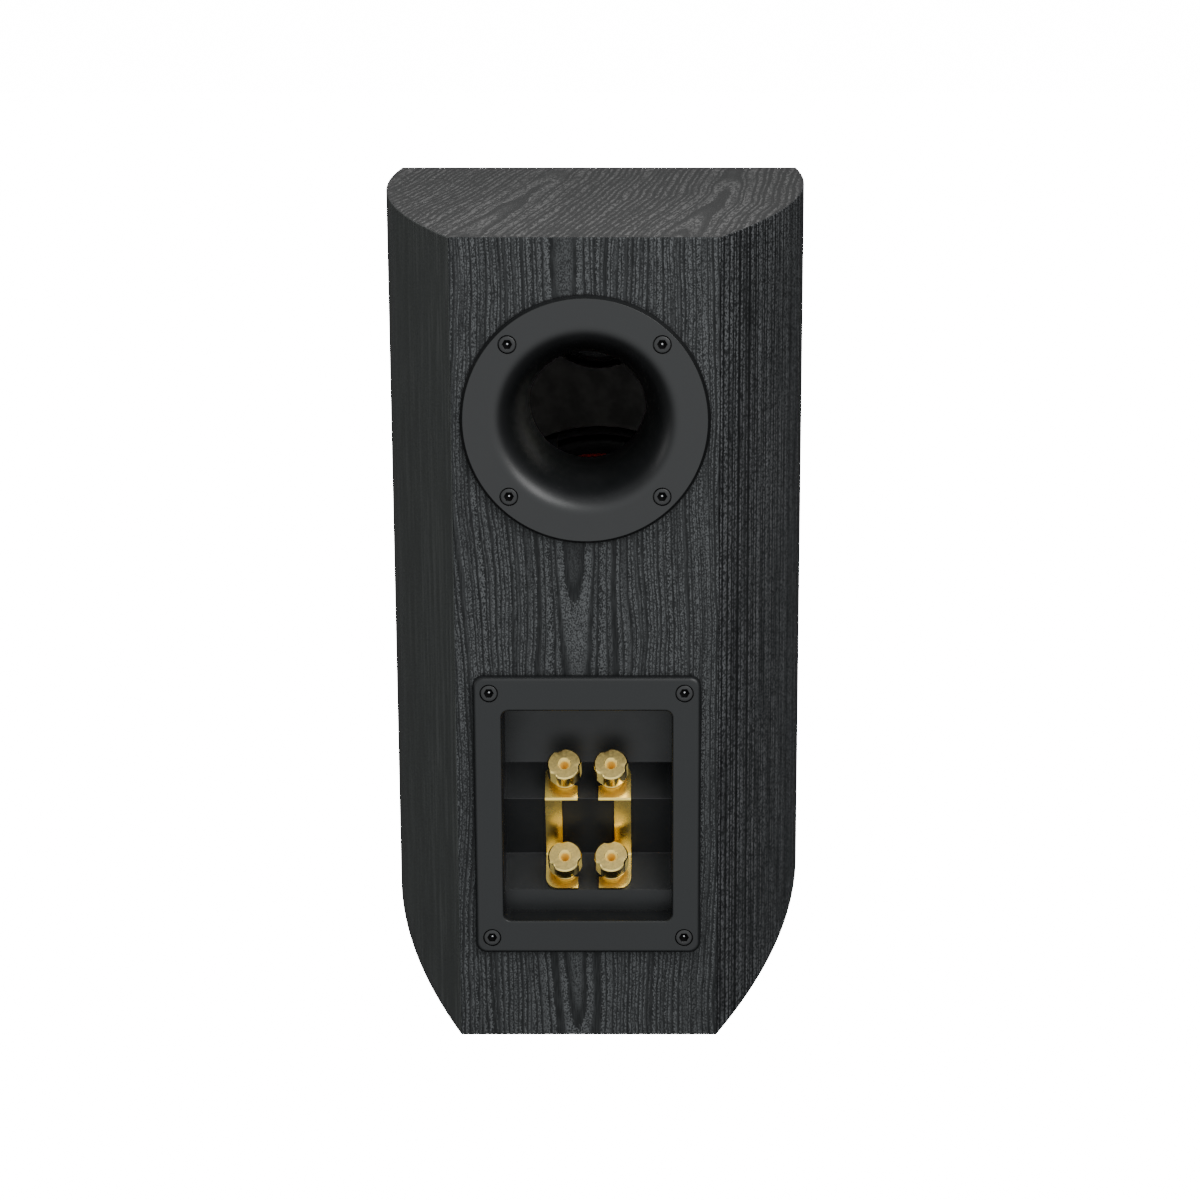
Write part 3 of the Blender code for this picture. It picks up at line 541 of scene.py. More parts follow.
def cabinet_plan():
    """The plan anticlockwise from the front right corner, with small round corners."""
    ys = [FRONT_Y + (BACK_Y - FRONT_Y) * i / SIDE_STEPS for i in range(SIDE_STEPS + 1)]
    right = [(half_width(y), y) for y in ys]
    left = [(-x, y) for x, y in reversed(right)]
    return filleted(right + left, WRAP_EDGE, 4, closed=True)


def outward_normals(ring):
    """The mitred outward normal at each point of an anticlockwise ring."""
    points = [Vector(point) for point in ring]
    normals = []
    for i, point in enumerate(points):
        along = (points[(i + 1) % len(points)] - points[i - 1]).normalized()
        normals.append(Vector((along.y, -along.x)))
    return points, normals


def make_wrap():
    """The vinyl: one thin skin over the whole cabinet, open where fittings go in."""
    points, normals = outward_normals(cabinet_plan())
    levels = []
    for inset, rise in arc((0, 0), (WRAP_EDGE, WRAP_EDGE), -90, 0, 5):
        levels.append((WRAP_EDGE - inset, rise + WRAP_EDGE - WRAP_OUT))
    levels += [(inset, HEIGHT - level) for inset, level in reversed(levels)]
    rings = []
    for inset, level in levels:
        ring = [p + n * (WRAP_OUT - inset) for p, n in zip(points, normals)]
        rings.append([(p.x, p.y, level) for p in ring])
    wrap = swept("vinyl_wrap", rings)
    shell = wrap.modifiers.new("thickness", "SOLIDIFY")
    shell.thickness = WRAP_THICK
    shell.offset = -1
    bake(wrap)
    for radius, y, z, turn in ((PORT_HOLE_R, BACK_Y, PORT_Z, TO_REAR),
                               (WOOFER_HOLE_R, FRONT_Y, WOOFER_Z, TO_FRONT),
                               (TWEETER_HOLE_R, FRONT_Y, TWEETER_Z, TO_FRONT)):
        hole = swept("hole", [circle(radius, h, 96) for h in (-CUT_REACH, CUT_REACH)],
                     matrix=at(0, y, z) @ turn)
        boolean(wrap, hole)
    hole = prism("hole", rounded_rectangle(*CUP_HOLE), -CUT_REACH, CUT_REACH,
                 at(0, BACK_Y, CUP_Z) @ TO_REAR)
    boolean(wrap, hole)
    for material in VINYLS:
        wrap.data.materials.append(material)
    lay_grain(wrap.data)
    smooth(wrap, 40)
    even_normals(wrap)
    return attach(wrap, "cabinet", "cabinet_board")


def lay_grain(mesh):
    """Give each face its vinyl, and a map in metres: across the grain, along the grain."""
    grain = mesh.uv_layers.new(name="grain")
    for face in mesh.polygons:
        face.material_index = vinyl_of(face.normal)
        for loop in face.loop_indices:
            spot = mesh.vertices[mesh.loops[loop].vertex_index].co
            grain.data[loop].uv = grain_place(face.material_index, spot)


def vinyl_of(normal):
    """The number of the vinyl for a face that looks this way."""
    if abs(normal.z) > 0.72:
        return TOP
    if abs(normal.y) > 0.80:
        return BACK if normal.y > 0 else FRONT
    return LEFT if normal.x > 0 else RIGHT


TOP_LEAN = math.radians(6)     # how far the top's grain leans from front to back
TOP_ACROSS = math.cos(TOP_LEAN)
TOP_ALONG = math.sin(TOP_LEAN)
TOP_START = 0.2                # where the top's sheet starts along the grain


def grain_place(vinyl, spot):
    """A point's place on its sheet: across the grain, along the grain."""
    if vinyl == TOP:
        return (TOP_ACROSS * spot.x - TOP_ALONG * spot.y,
                TOP_ALONG * spot.x + TOP_ACROSS * spot.y + TOP_START)
    if vinyl in (BACK, FRONT):
        return (spot.x, spot.z)
    along = spot.y - (BACK_Y - WIDEST_FROM_BACK)
    return (SIDE_RADIUS * math.asin(along / SIDE_RADIUS), spot.z)


# ---- screws

HEAD_R = 3.3 * MM
HEAD_H = 2.3 * MM
HEAD_STEPS = 48
SHANK_R = 1.5 * MM
POINT_H = 1.5 * MM
HEX_HALF = 1.65 * MM       # half the socket's width across its flats
HEX_DEEP = 1.15 * MM
SOCKET_DEEP = 1.95 * MM    # with the cone that the drill leaves


def hexagon(angle, radius):
    """A hexagon's radius in this direction, for half its width across flats."""
    sixth = math.pi / 3
    return radius / math.cos((angle % sixth) - sixth / 2)


def make_screw(name, length, matrix):
    """A socket head screw, its head's top at the place and its shank along -Z."""
    socket = [circle(0.35 * MM, -SOCKET_DEEP, HEAD_STEPS),
              circle(HEX_HALF, -HEX_DEEP, HEAD_STEPS, hexagon),
              circle(HEX_HALF, -0.15 * MM, HEAD_STEPS, hexagon),
              circle(HEX_HALF * 1.12, 0, HEAD_STEPS, hexagon)]
    outside = [(HEAD_R - 0.28 * MM, 0), (HEAD_R - 0.08 * MM, -0.10 * MM),
               (HEAD_R, -0.32 * MM), (HEAD_R, -HEAD_H), (SHANK_R, -HEAD_H),
               (SHANK_R, -length + POINT_H), (0.3 * MM, -length)]
    rings = socket + [circle(radius, height, HEAD_STEPS) for radius, height in outside]
    screw = swept(name, rings, (BLACK_SCREW, SOCKET_PAINTED_GLINT, SOCKET_PAINTED_SHADE), matrix)
    # The socket's walls take the painted shade, and the drill point takes the painted glint.
    for face in screw.data.polygons:
        centre = face.center
        if -HEAD_H < centre.z < -0.1 * MM and centre.xy.length < HEX_HALF * 1.1:
            face.material_index = 1 if centre.z < -1.9 * MM else 2
    return smooth(screw)


def make_screws(prefix, length, places):
    for number, where in enumerate(places, 1):
        name = f"{prefix}_{number}"
        screw = make_screw(name + "_detail", length, where)
        attach(screw, "cabinet", "black_screw", name)


def counterbore(matrix):
    """A cutter for a screw's head, with a softened mouth."""
    wide = HEAD_R + 0.35 * MM
    rings = [circle(radius, height, HEAD_STEPS) for radius, height in (
        (wide + 0.4 * MM, 0.3 * MM), (wide + 0.1 * MM, 0), (wide, -0.1 * MM),
        (wide, -HEAD_H - GAP))]
    return swept("counterbore", rings, matrix=matrix)


def corner_places(half_across, half_up, z):
    """Four screws' places on the back, round a height."""
    return [at(x, BACK_Y + PROUD, z + up) @ TO_REAR
            for up in (half_up, -half_up) for x in (half_across, -half_across)]


def ring_places(radius, count, first, z):
    """Screws' places in a ring on the front, round a height."""
    angles = [first + 2 * math.pi * i / count for i in range(count)]
    return [at(radius * math.cos(angle), FRONT_Y - PROUD, z + radius * math.sin(angle))
            @ TO_FRONT for angle in angles]


# ---- port

MOUTH_R = 37.5 * MM
THROAT_R = 24 * MM
PORT_WALL = 2.5 * MM
FLARE_DEEP = 30 * MM
PORT_SCREW_HALF = 30.25 * MM   # half the distance between neighbouring screws
REAR_SCREW_LENGTH = 15 * MM


def make_port():
    """The flared tube and its flange."""
    outer = cad_box("port_tube")[1].x
    tube_end = cad_box("port_tube")[0].y - BACK_Y
    narrowing = MOUTH_R - THROAT_R
    flare_end = (MOUTH_R, PROUD - FLARE_DEEP)
    bevel, drop, broken = 1.2 * MM, 1.9 * MM, 0.6 * MM
    inner = arc(flare_end, (narrowing, FLARE_DEEP), 180, 90, 28)
    rim = filleted([(outer - 4 * MM, PROUD), (outer - bevel, PROUD),
                    (outer, PROUD - drop), (outer, GAP)], 0.2 * MM, 3)[1:-1]
    under = arc(flare_end, (narrowing - PORT_WALL, FLARE_DEEP - PROUD + GAP), 90, 180, 16)
    profile = ([(THROAT_R, tube_end + broken)] + inner
               + [(MOUTH_R + broken, PROUD)] + rim
               + [(outer, GAP)] + under
               + [(THROAT_R + PORT_WALL, tube_end), (THROAT_R + broken, tube_end)])
    port = lathe("port_tube_detail", profile, 160, (PORT_PLASTIC,),
                 at(0, BACK_Y, PORT_Z) @ TO_REAR)
    places = corner_places(PORT_SCREW_HALF, PORT_SCREW_HALF, PORT_Z)
    for where in places:
        boolean(port, counterbore(where))
    smooth(port)
    even_normals(port)
    attach(port, "cabinet", "black_plastic", "port_tube")
    make_screws("port_screw", REAR_SCREW_LENGTH, places)


# ---- terminal cup

RECESS_SIZE = (68.6 * MM, 89.1 * MM)
RECESS_CORNER = 2.8 * MM
RECESS_WALL = 2.5 * MM
RECESS_DEEP = 20 * MM
RECESS_SHALLOW = 8 * MM
SLOPE_RUN = RECESS_DEEP - RECESS_SHALLOW
ROW_PITCH = 39.4 * MM
UPPER_SLOPE_TOP = 111.8 * MM
POST_PITCH = 19 * MM
POST_HOLE_R = 3.3 * MM
PLATE_EDGE = 1.7 * MM      # the rounding of the plate's outer edge
PLATE_CORNER = 4.4 * MM
LIP = 0.9 * MM             # the rounding of the recess's mouth
CUP_SCREW_ACROSS = 39.3 * MM
CUP_SCREW_UP = 51.9 * MM
THROUGH = 60 * MM          # long enough to pass right through the cup


def recess_floor(stretch=0.0):
    """The zigzag floor from top to bottom, as (depth behind the face, height)."""
    half = cad_box("terminal_cup")[1].z - CUP_Z + stretch
    foot = UPPER_SLOPE_TOP - SLOPE_RUN
    lower = UPPER_SLOPE_TOP - ROW_PITCH
    return [(RECESS_DEEP, CUP_Z + half), (RECESS_DEEP, UPPER_SLOPE_TOP),
            (RECESS_SHALLOW, foot), (RECESS_DEEP, lower),
            (RECESS_SHALLOW, lower - SLOPE_RUN), (RECESS_SHALLOW, CUP_Z - half)]


def floor_prism(name, floor, front, half_width):
    """The space between the floor and a front depth."""
    sides = [(front, floor[0][1])] + floor + [(front, floor[-1][1])]
    outline = [(BACK_Y - depth, height) for depth, height in sides]
    return prism(name, outline, -half_width, half_width, PROFILE_TO_YZ)


def plate_body(face):
    """The cup's plate, with a rounded outer edge."""
    low, high = cad_box("terminal_cup")
    width, height = high.x - low.x, high.z - low.z
    rounding = [(PLATE_EDGE - a, PLATE_EDGE - b)
                for a, b in arc((0, 0), (PLATE_EDGE, PLATE_EDGE), 0, 90, 6)]
    rings = []
    for inset, down in [(0, PROUD - GAP)] + rounding:
        outline = rounded_rectangle(width - 2 * inset, height - 2 * inset,
                                    PLATE_CORNER - 0.6 * inset)
        rings.append([(u, v, -down) for u, v in outline])
    return swept("terminal_cup_detail", rings, (BLACK_PLASTIC,), face)


def tub_body(face):
    """The tub behind the plate, round the zigzag floor."""
    width, height = [side + 2 * RECESS_WALL for side in RECESS_SIZE]
    tub = floor_prism("tub", offset_line(recess_floor(), RECESS_WALL), -PROUD / 2, width / 2)
    limit = prism("limit", rounded_rectangle(width, height, RECESS_CORNER + RECESS_WALL),
                  -THROUGH, 20 * MM, face)
    return boolean(tub, limit, "INTERSECT")


def recess_cutter(face):
    """The hollow of the recess, with a softened mouth."""
    hollow = floor_prism("hollow", filleted(recess_floor(5 * MM), 0.3 * MM, 3), -2 * PROUD,
                         RECESS_SIZE[0])
    mouth = [(LIP - a, LIP - b) for a, b in arc((0, 0), (LIP, LIP), 0, 90, 5)]
    rings = []
    for grow, down in [(0, THROUGH)] + mouth + [(LIP + 3 * MM, -3 * MM)]:
        outline = rounded_rectangle(RECESS_SIZE[0] + 2 * grow, RECESS_SIZE[1] + 2 * grow,
                                    RECESS_CORNER + grow)
        rings.append([(u, v, -down) for u, v in outline])
    return boolean(hollow, swept("bore", rings, matrix=face), "INTERSECT")


def make_cup():
    """The plate, its rounded opening and the tub with the zigzag floor."""
    face = at(0, BACK_Y + PROUD, CUP_Z) @ TO_REAR
    plate = plate_body(face)
    boolean(plate, tub_body(face), "UNION")
    boolean(plate, recess_cutter(face))
    places = corner_places(CUP_SCREW_ACROSS, CUP_SCREW_UP, CUP_Z)
    for where in places:
        boolean(plate, counterbore(where))
    for where in post_places().values():
        boolean(plate, swept("post_hole", [circle(POST_HOLE_R, height, 32)
                                           for height in (-10 * MM, 10 * MM)],
                             matrix=where))
    smooth(plate, 28)
    even_normals(plate)
    attach(plate, "cabinet", "black_plastic", "terminal_cup")
    make_screws("cup_screw", REAR_SCREW_LENGTH, places)


# ---- binding posts

STRAP_THICK = 1.5 * MM
WASHER_BASE = GAP + STRAP_THICK + GAP
WASHER_THICK = 0.9 * MM
NUT_BASE = WASHER_BASE + WASHER_THICK + GAP
NUT_TOP = 14.5 * MM
NUT_CAP_H = 7.3 * MM
NUT_CAP_R = 7.0 * MM
NUT_NECK_R = 4.3 * MM
BORE_R = 3.35 * MM
CAP_TOP_EDGE = 0.55 * MM
CAP_LOW_EDGE = 0.5 * MM
NUT_STEPS = 180
FLUTES = 3
FLUTE_R = 4.0 * MM
FLUTE_OUT = 10.3 * MM      # from the nut's axis to a flute's
FLUTE_LEAN = 0.12          # how fast a flute runs out towards the cap's foot
FLUTE_FIRST = {"upper": math.radians(50), "lower": math.radians(39)}


def post_places():
    """Where each post stands on its slope. +Z of a place runs out along the post."""
    depth = (RECESS_DEEP + RECESS_SHALLOW) / 2
    upper = UPPER_SLOPE_TOP - SLOPE_RUN / 2
    return {f"{row}_{side}": at(x, BACK_Y - depth, height) @ ALONG_POST
            for row, height in (("upper", upper), ("lower", upper - ROW_PITCH))
            for side, x in (("left", -POST_PITCH / 2), ("right", POST_PITCH / 2))}


def fluted(angle, radius, down):
    """The cap's radius in this direction: round, but for its hollow flutes."""
    inset = NUT_CAP_R - radius
    out = FLUTE_OUT + FLUTE_LEAN * down
    reach = radius
    for k in range(FLUTES):
        away = (angle - 2 * math.pi * k / FLUTES + math.pi) % (2 * math.pi) - math.pi
        hollow = FLUTE_R + inset
        side = out * math.sin(away)
        if abs(side) < hollow and math.cos(away) > 0:
            near = out * math.cos(away) - math.sqrt(hollow ** 2 - side ** 2)
            reach = min(reach, near)
    return reach


def make_nut(name, where):
    """A thumb nut: a countersunk plug hole, a fluted cap and a plain neck."""
    first = FLUTE_FIRST[name.split("_")[0]]
    cap_low = NUT_TOP - NUT_CAP_H
    hole = [(1.80 * MM, NUT_TOP - 1.6 * MM), (1.75 * MM, NUT_TOP - 1.5 * MM),
            (2.60 * MM, NUT_TOP - 0.08 * MM), (2.72 * MM, NUT_TOP)]
    cap = filleted([(NUT_CAP_R - 3 * MM, NUT_TOP), (NUT_CAP_R - CAP_TOP_EDGE, NUT_TOP),
                    (NUT_CAP_R, NUT_TOP - CAP_TOP_EDGE), (NUT_CAP_R, cap_low + CAP_LOW_EDGE),
                    (NUT_CAP_R - CAP_LOW_EDGE, cap_low), (NUT_NECK_R, cap_low)],
                   0.12 * MM, 2)[1:-1]
    neck = [(NUT_NECK_R + 0.2 * MM, cap_low), (NUT_NECK_R, cap_low - 0.3 * MM),
            (NUT_NECK_R, NUT_BASE + 0.3 * MM), (NUT_NECK_R - 0.3 * MM, NUT_BASE),
            (BORE_R, NUT_BASE), (BORE_R, NUT_TOP - 1.6 * MM)]
    rings = [circle(radius, height, NUT_STEPS) for radius, height in hole]
    for reach, height in cap:
        rings.append(circle(reach, height, NUT_STEPS, lambda angle, radius: fluted(
            angle - first, radius, NUT_TOP - height)))
    rings += [circle(radius, height, NUT_STEPS) for radius, height in neck]
    nut = swept(f"thumb_nut_{name}_detail", rings, (GOLD, GOLD_FACE, GOLD_PAINTED_LIGHT), where,
                loop=True)
    # The top face takes the face gold. The flutes and the neck take the painted light gold.
    for face in nut.data.polygons:
        reach, height = face.center.xy.length, face.center.z
        if height > NUT_TOP - 0.02 * MM and face.normal.z > 0.9:
            face.material_index = 1
        elif height < NUT_TOP - CAP_TOP_EDGE and reach < NUT_CAP_R - 0.06 * MM:
            face.material_index = 2
    smooth(nut, 30)
    even_normals(nut)
    return attach(nut, f"nut_{name}", "gold_plate", f"thumb_nut_{name}")


STUD_R = 3 * MM
STUD_ROOT_R = 2.72 * MM    # at the bottom of the thread
STUD_PITCH = 1 * MM
STUD_TIP = NUT_TOP - 2 * MM
STUD_TAIL = -14 * MM
STUD_FLANGE = -RECESS_WALL - GAP
STUD_FLANGE_H = 2.2 * MM


def make_stud(name, where):
    """A threaded stud with a blind plug hole, a flange and a plain tail."""
    profile = [(0.2 * MM, -1.5 * MM), (1.5 * MM, -1.2 * MM),
               (1.5 * MM, STUD_TIP - 1.2 * MM), (2.0 * MM, STUD_TIP), (2.7 * MM, STUD_TIP)]
    level = STUD_TIP - 0.3 * MM
    while level > 0.5 * MM:
        profile += [(STUD_R, level), (STUD_ROOT_R, level - STUD_PITCH / 2)]
        level -= STUD_PITCH
    profile += [(STUD_R, 0), (STUD_R, STUD_FLANGE), (5 * MM, STUD_FLANGE),
                (5 * MM, STUD_FLANGE - STUD_FLANGE_H), (2 * MM, STUD_FLANGE - STUD_FLANGE_H),
                (2 * MM, STUD_TAIL), (0.2 * MM, STUD_TAIL)]
    stud = lathe(f"post_stud_{name}_detail", profile, 48, (GOLD, BORE_PAINTED_LIGHT), where,
                 loop=False)
    # The plug hole takes the painted light gold.
    for face in stud.data.polygons:
        if face.center.xy.length < 2.1 * MM and face.center.z > -1.4 * MM:
            face.material_index = 1
    return attach(stud, "cabinet", "gold_plate", f"post_stud_{name}")


def make_washer(name, where):
    """The loose clamp washer under a nut."""
    low, high = WASHER_BASE, WASHER_BASE + WASHER_THICK
    out, edge = 4.9 * MM, 0.2 * MM
    profile = [(BORE_R, low), (BORE_R, high), (out - edge, high), (out, high - edge),
               (out, low + edge), (out - edge, low)]
    # The washer takes the painted light gold.
    washer = lathe(f"clamp_washer_{name}_detail", profile, 64, (GOLD_PAINTED_LIGHT,), where)
    return attach(washer, f"washer_{name}", "gold_plate", f"clamp_washer_{name}")


STRAP_INNER = 4.3 * MM     # from the cup's middle to the strap's near edge
STRAP_BAR = 10.7 * MM      # to the near edge of the bar that joins the forks
STRAP_OUTER = 17.55 * MM
STRAP_CORNER = 5 * MM
STRAP_UPPER_END = 15 * MM  # how far the upper fork runs up its slope
STRAP_BEND = 0.4 * MM      # the radius on the cup's side of a bend
STRAP_BROKEN_EDGE = 0.18 * MM


def make_strap(name, side):
    """A bent jumper plate with two forks, its edges lightly broken."""
    floor = recess_floor()
    foot, valley, low_foot = floor[2], floor[3], floor[4]
    climb = STRAP_UPPER_END * math.sin(POST_TILT)
    path = [(foot[0] + climb, foot[1] + climb), foot, valley, low_foot]
    low = filleted(offset_line(path, -GAP), STRAP_BEND, 4)
    high = filleted(offset_line(path, -GAP - STRAP_THICK), 3 * STRAP_BEND, 4)
    outline = [(BACK_Y - depth, height) for depth, height in low + high[::-1]]
    inner, outer = sorted((side * STRAP_INNER, side * STRAP_OUTER))
    strap = prism(f"jumper_strap_{name}_detail", outline, inner, outer, PROFILE_TO_YZ,
                  (GOLD_SHEET,))
    round_ends(strap, side)
    window_top = foot[1] - 0.2 * MM
    window_low = low_foot[1] + climb
    window = prism("window", rounded_rectangle(
        2 * (STRAP_BAR - STRAP_INNER), window_top - window_low, 0.3 * MM, 2),
        -THROUGH, THROUGH,
        at(side * STRAP_INNER, BACK_Y, (window_top + window_low) / 2) @ TO_REAR)
    boolean(strap, window)
    for row in ("upper", "lower"):
        where = post_places()[f"{row}_{name}"]
        slot = prism("slot", rounded_rectangle(POST_PITCH + 2 * BORE_R, 2 * BORE_R,
                                               BORE_R - 0.001 * MM, 10),
                     -6 * MM, 6 * MM, where @ at(x=-side * POST_PITCH / 2))
        boolean(strap, slot)
    soften(strap, STRAP_BROKEN_EDGE, 40)
    even_normals(strap)
    return attach(strap, "cabinet", "gold_plate", f"jumper_strap_{name}")


def round_ends(strap, side):
    """Round the end corners that lie away from the middle of the cup."""
    shape = bmesh.new()
    shape.from_mesh(strap.data)
    limit = max(side * v.co.z for v in shape.verts) - 0.00001
    upper = max(v.co.y for v in shape.verts)
    lower = min(v.co.y for v in shape.verts)
    ends = []
    for e in shape.edges:
        middle = (e.verts[0].co.y + e.verts[1].co.y) / 2
        at_end = middle > upper - 3 * MM or middle < lower + 3 * MM
        across = abs(e.calc_length() - STRAP_THICK) < 0.1 * STRAP_THICK
        if at_end and across and all(side * v.co.z > limit for v in e.verts):
            ends.append(e)
    bmesh.ops.bevel(shape, geom=ends, offset=STRAP_CORNER, segments=8, profile=0.5,
                    affect="EDGES")
    shape.to_mesh(strap.data)
    shape.free()


def make_posts():
    """Four binding posts and the two straps that join them in pairs."""
    for name, where in post_places().items():
        make_stud(name, where)
        make_washer(name, where)
        make_nut(name, where)
    make_strap("left", -1)
    make_strap("right", 1)


# ---- woofer

WOOFER_FLANGE_R = cad_box("woofer_basket")[1].x
WOOFER_SCREWS = 8
WOOFER_SCREW_RING_R = 81.5 * MM
FRONT_SCREW_LENGTH = 17 * MM
BASKET_WINDOWS = 6
BASKET_WINDOW = (60 * MM, 42 * MM, 5 * MM)     # its length, width and corner
CONE_R = 52 * MM
CONE_NECK_R = 16.3 * MM
CONE_TOP = -3.4 * MM
CONE_DEEP = 19.6 * MM
CONE_CURVE = 0.86
CONE_THICK = 1.1 * MM
CONE_STEPS = 16
CAP_LEVEL = -21.3 * MM
CAP_SIZE = (18 * MM, 8 * MM)
CAP_THICK = 0.8 * MM


def make_woofer():
    here = at(0, FRONT_Y, WOOFER_Z) @ TO_FRONT
    make_basket(here)
    make_cone(here)
    make_surround(here)


def make_basket(here):
    """The cast basket with its flange, its windows and its screws."""
    flange = in_mm((72, 3.2), (72.8, 4), (84.6, 4), (86.0, 3.6))
    flange += [(WOOFER_FLANGE_R, 2.4 * MM), (WOOFER_FLANGE_R, GAP), (72.6 * MM, GAP)]
    bowl = in_mm((72.6, -4.5), (47, -46), (47, -52), (20, -52), (20, -49.5), (44, -49.5),
                 (44, -46), (69, -4.5), (66.5, -3.5), (66.5, -1.5), (72, -1.5))
    basket = lathe("woofer_basket_detail", flange + bowl, 128, (BASKET_PAINT,), here)
    for k in range(BASKET_WINDOWS):
        turn = Matrix.Rotation(2 * math.pi * (k + 0.5) / BASKET_WINDOWS, 4, "Z")
        window = prism("window", rounded_rectangle(*BASKET_WINDOW), -32 * MM, -8 * MM,
                       here @ turn @ at(x=62 * MM))
        boolean(basket, window)
    places = ring_places(WOOFER_SCREW_RING_R, WOOFER_SCREWS, math.pi / WOOFER_SCREWS,
                         WOOFER_Z)
    for where in places:
        boolean(basket, counterbore(where))
    smooth(basket)
    even_normals(basket)
    attach(basket, "cabinet", "basket_paint", "woofer_basket")
    make_screws("woofer_screw", FRONT_SCREW_LENGTH, places)


def make_cone(here):
    """The woven cone and its dust cap."""
    front = [(56.3 * MM, -3.6 * MM), (CONE_R, CONE_TOP)]
    for i in range(1, CONE_STEPS + 1):
        t = i / CONE_STEPS
        front.append((CONE_R - (CONE_R - CONE_NECK_R) * t,
                      CONE_TOP - CONE_DEEP * t ** CONE_CURVE))
    back = [(radius, height - CONE_THICK) for radius, height in reversed(front)]
    cone = lathe("woofer_cone_detail", front + back, 128, (CONE_WEAVE,), here)
    attach(cone, "woofer_diaphragm", "cone", "woofer_cone")

    inside = [size - CAP_THICK for size in CAP_SIZE]
    cap = arc((0, CAP_LEVEL), CAP_SIZE, 88, 0, 14) + arc((0, CAP_LEVEL), inside, 0, 88, 10)
    dust = lathe("woofer_dust_cap_detail", cap, 96, (DUST_CAP,), here, loop=False)
    attach(dust, "woofer_diaphragm", "dust_cap", "woofer_dust_cap")


ROLL_MIDDLE_R = 61.8 * MM
ROLL_SEAT = -1.2 * MM
ROLL_R = 5.2 * MM
RUBBER_THICK = 0.8 * MM
CONE_GLUE = -2.4 * MM


def make_surround(here):
    """The rubber half roll between the basket and the cone's edge."""
    middle = (ROLL_MIDDLE_R, ROLL_SEAT)
    over = arc(middle, (ROLL_R, ROLL_R), 171, 9, 20)
    under = arc(middle, (ROLL_R - RUBBER_THICK, ROLL_R - RUBBER_THICK), 0, 180, 16)
    lip_top = ROLL_SEAT + RUBBER_THICK
    profile = ([(52.4 * MM, CONE_GLUE), (56.0 * MM, CONE_GLUE + 0.1 * MM)] + over
               + [(67.6 * MM, lip_top), (71.7 * MM, lip_top), (71.7 * MM, ROLL_SEAT)]
               + under
               + [(56.2 * MM, CONE_GLUE - RUBBER_THICK), (52.4 * MM, CONE_GLUE - 0.6 * MM)])
    surround = lathe("woofer_surround_detail", profile, 144, (RUBBER,), here)
    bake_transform(surround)
    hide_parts("woofer_surround")


# ---- tweeter

TWEETER_FLANGE_R = cad_box("tweeter_faceplate")[1].x
TWEETER_SCREWS = 3
TWEETER_SCREW_RING_R = 38 * MM
FACE_H = 4 * MM
HORN_THROAT_R = 14.6 * MM
HORN_MOUTH_R = 27 * MM
HORN_DEEP = 5.2 * MM
HORN_CURVE = 2.2
HORN_STEPS = 14
DOME_SIZE = (11.6 * MM, 4.3 * MM)
DOME_LEVEL = -0.6 * MM


def make_tweeter():
    here = at(0, FRONT_Y, TWEETER_Z) @ TO_FRONT
    make_faceplate(here)
    make_dome(here)


def make_faceplate(here):
    """The tweeter's plate, with a shallow horn round the dome."""
    horn = []
    for i in range(HORN_STEPS + 1):
        t = i / HORN_STEPS
        horn.append((HORN_THROAT_R + (HORN_MOUTH_R - HORN_THROAT_R) * t,
                     FACE_H - HORN_DEEP * (1 - t) ** HORN_CURVE))
    rim = in_mm((42.4, 4), (43.5, 3.6))
    rim += [(TWEETER_FLANGE_R, 2.6 * MM), (TWEETER_FLANGE_R, GAP), (30.4 * MM, GAP)]
    rim += [(30.4 * MM, -3 * MM), (HORN_THROAT_R, -3 * MM)]
    faceplate = lathe("tweeter_faceplate_detail", horn + rim, 128, (BLACK_PLASTIC,), here)
    places = ring_places(TWEETER_SCREW_RING_R, TWEETER_SCREWS, math.pi / 2, TWEETER_Z)
    for where in places:
        boolean(faceplate, counterbore(where))
    smooth(faceplate)
    even_normals(faceplate)
    attach(faceplate, "cabinet", "black_plastic", "tweeter_faceplate")
    make_screws("tweeter_screw", FRONT_SCREW_LENGTH, places)


def make_dome(here):
    """The silk dome, its small roll and its former."""
    dome = arc((0, DOME_LEVEL), DOME_SIZE, 88, 0, 12)
    dome += arc((12.5 * MM, DOME_LEVEL), (0.9 * MM, 0.9 * MM), 180, 0, 8)[1:]
    dome += in_mm((13.3, -8), (12.7, -8), (12.7, -1.6))
    dome += arc((0, -1.4 * MM), (11.4 * MM, 4.3 * MM), 0, 88, 8)
    silk = lathe("tweeter_dome_detail", dome, 96, (DOME_SILK,), here, loop=False)
    attach(silk, "tweeter_diaphragm", "dome_silk", "tweeter_dome")


# ---- carried-over CAD

INSIDE_FINISHES = (
    (BOARD_INSIDE, ("bottom_panel", "top_panel", "front_baffle", "back_panel",
                    "left_side_panel", "right_side_panel")),
    (FIBREBOARD, ("window_brace",)),
    (WADDING, ("damping_wadding",)),
    (PLATED_IRON, ("woofer_top_plate", "woofer_yoke")),
    (FERRITE, ("woofer_magnet", "tweeter_magnet")),
    (COPPER, ("woofer_voice_coil", "crossover_inductor")),
    (SPIDER_CLOTH, ("woofer_spider",)),
    (BLACK_PLASTIC, ("tweeter_rear_cup",)),
    (CIRCUIT_BOARD, ("crossover_board",)),
    (CAPACITOR, ("crossover_capacitor",)),
    (WIRE_SLEEVE, ("driver_wiring",)))


def paint_cad():
    """Give the CAD nodes that no piece replaces their finishes."""
    for material, names in INSIDE_FINISHES:
        for name in names:
            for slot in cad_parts[name].material_slots:
                slot.material = material


# ---- stage

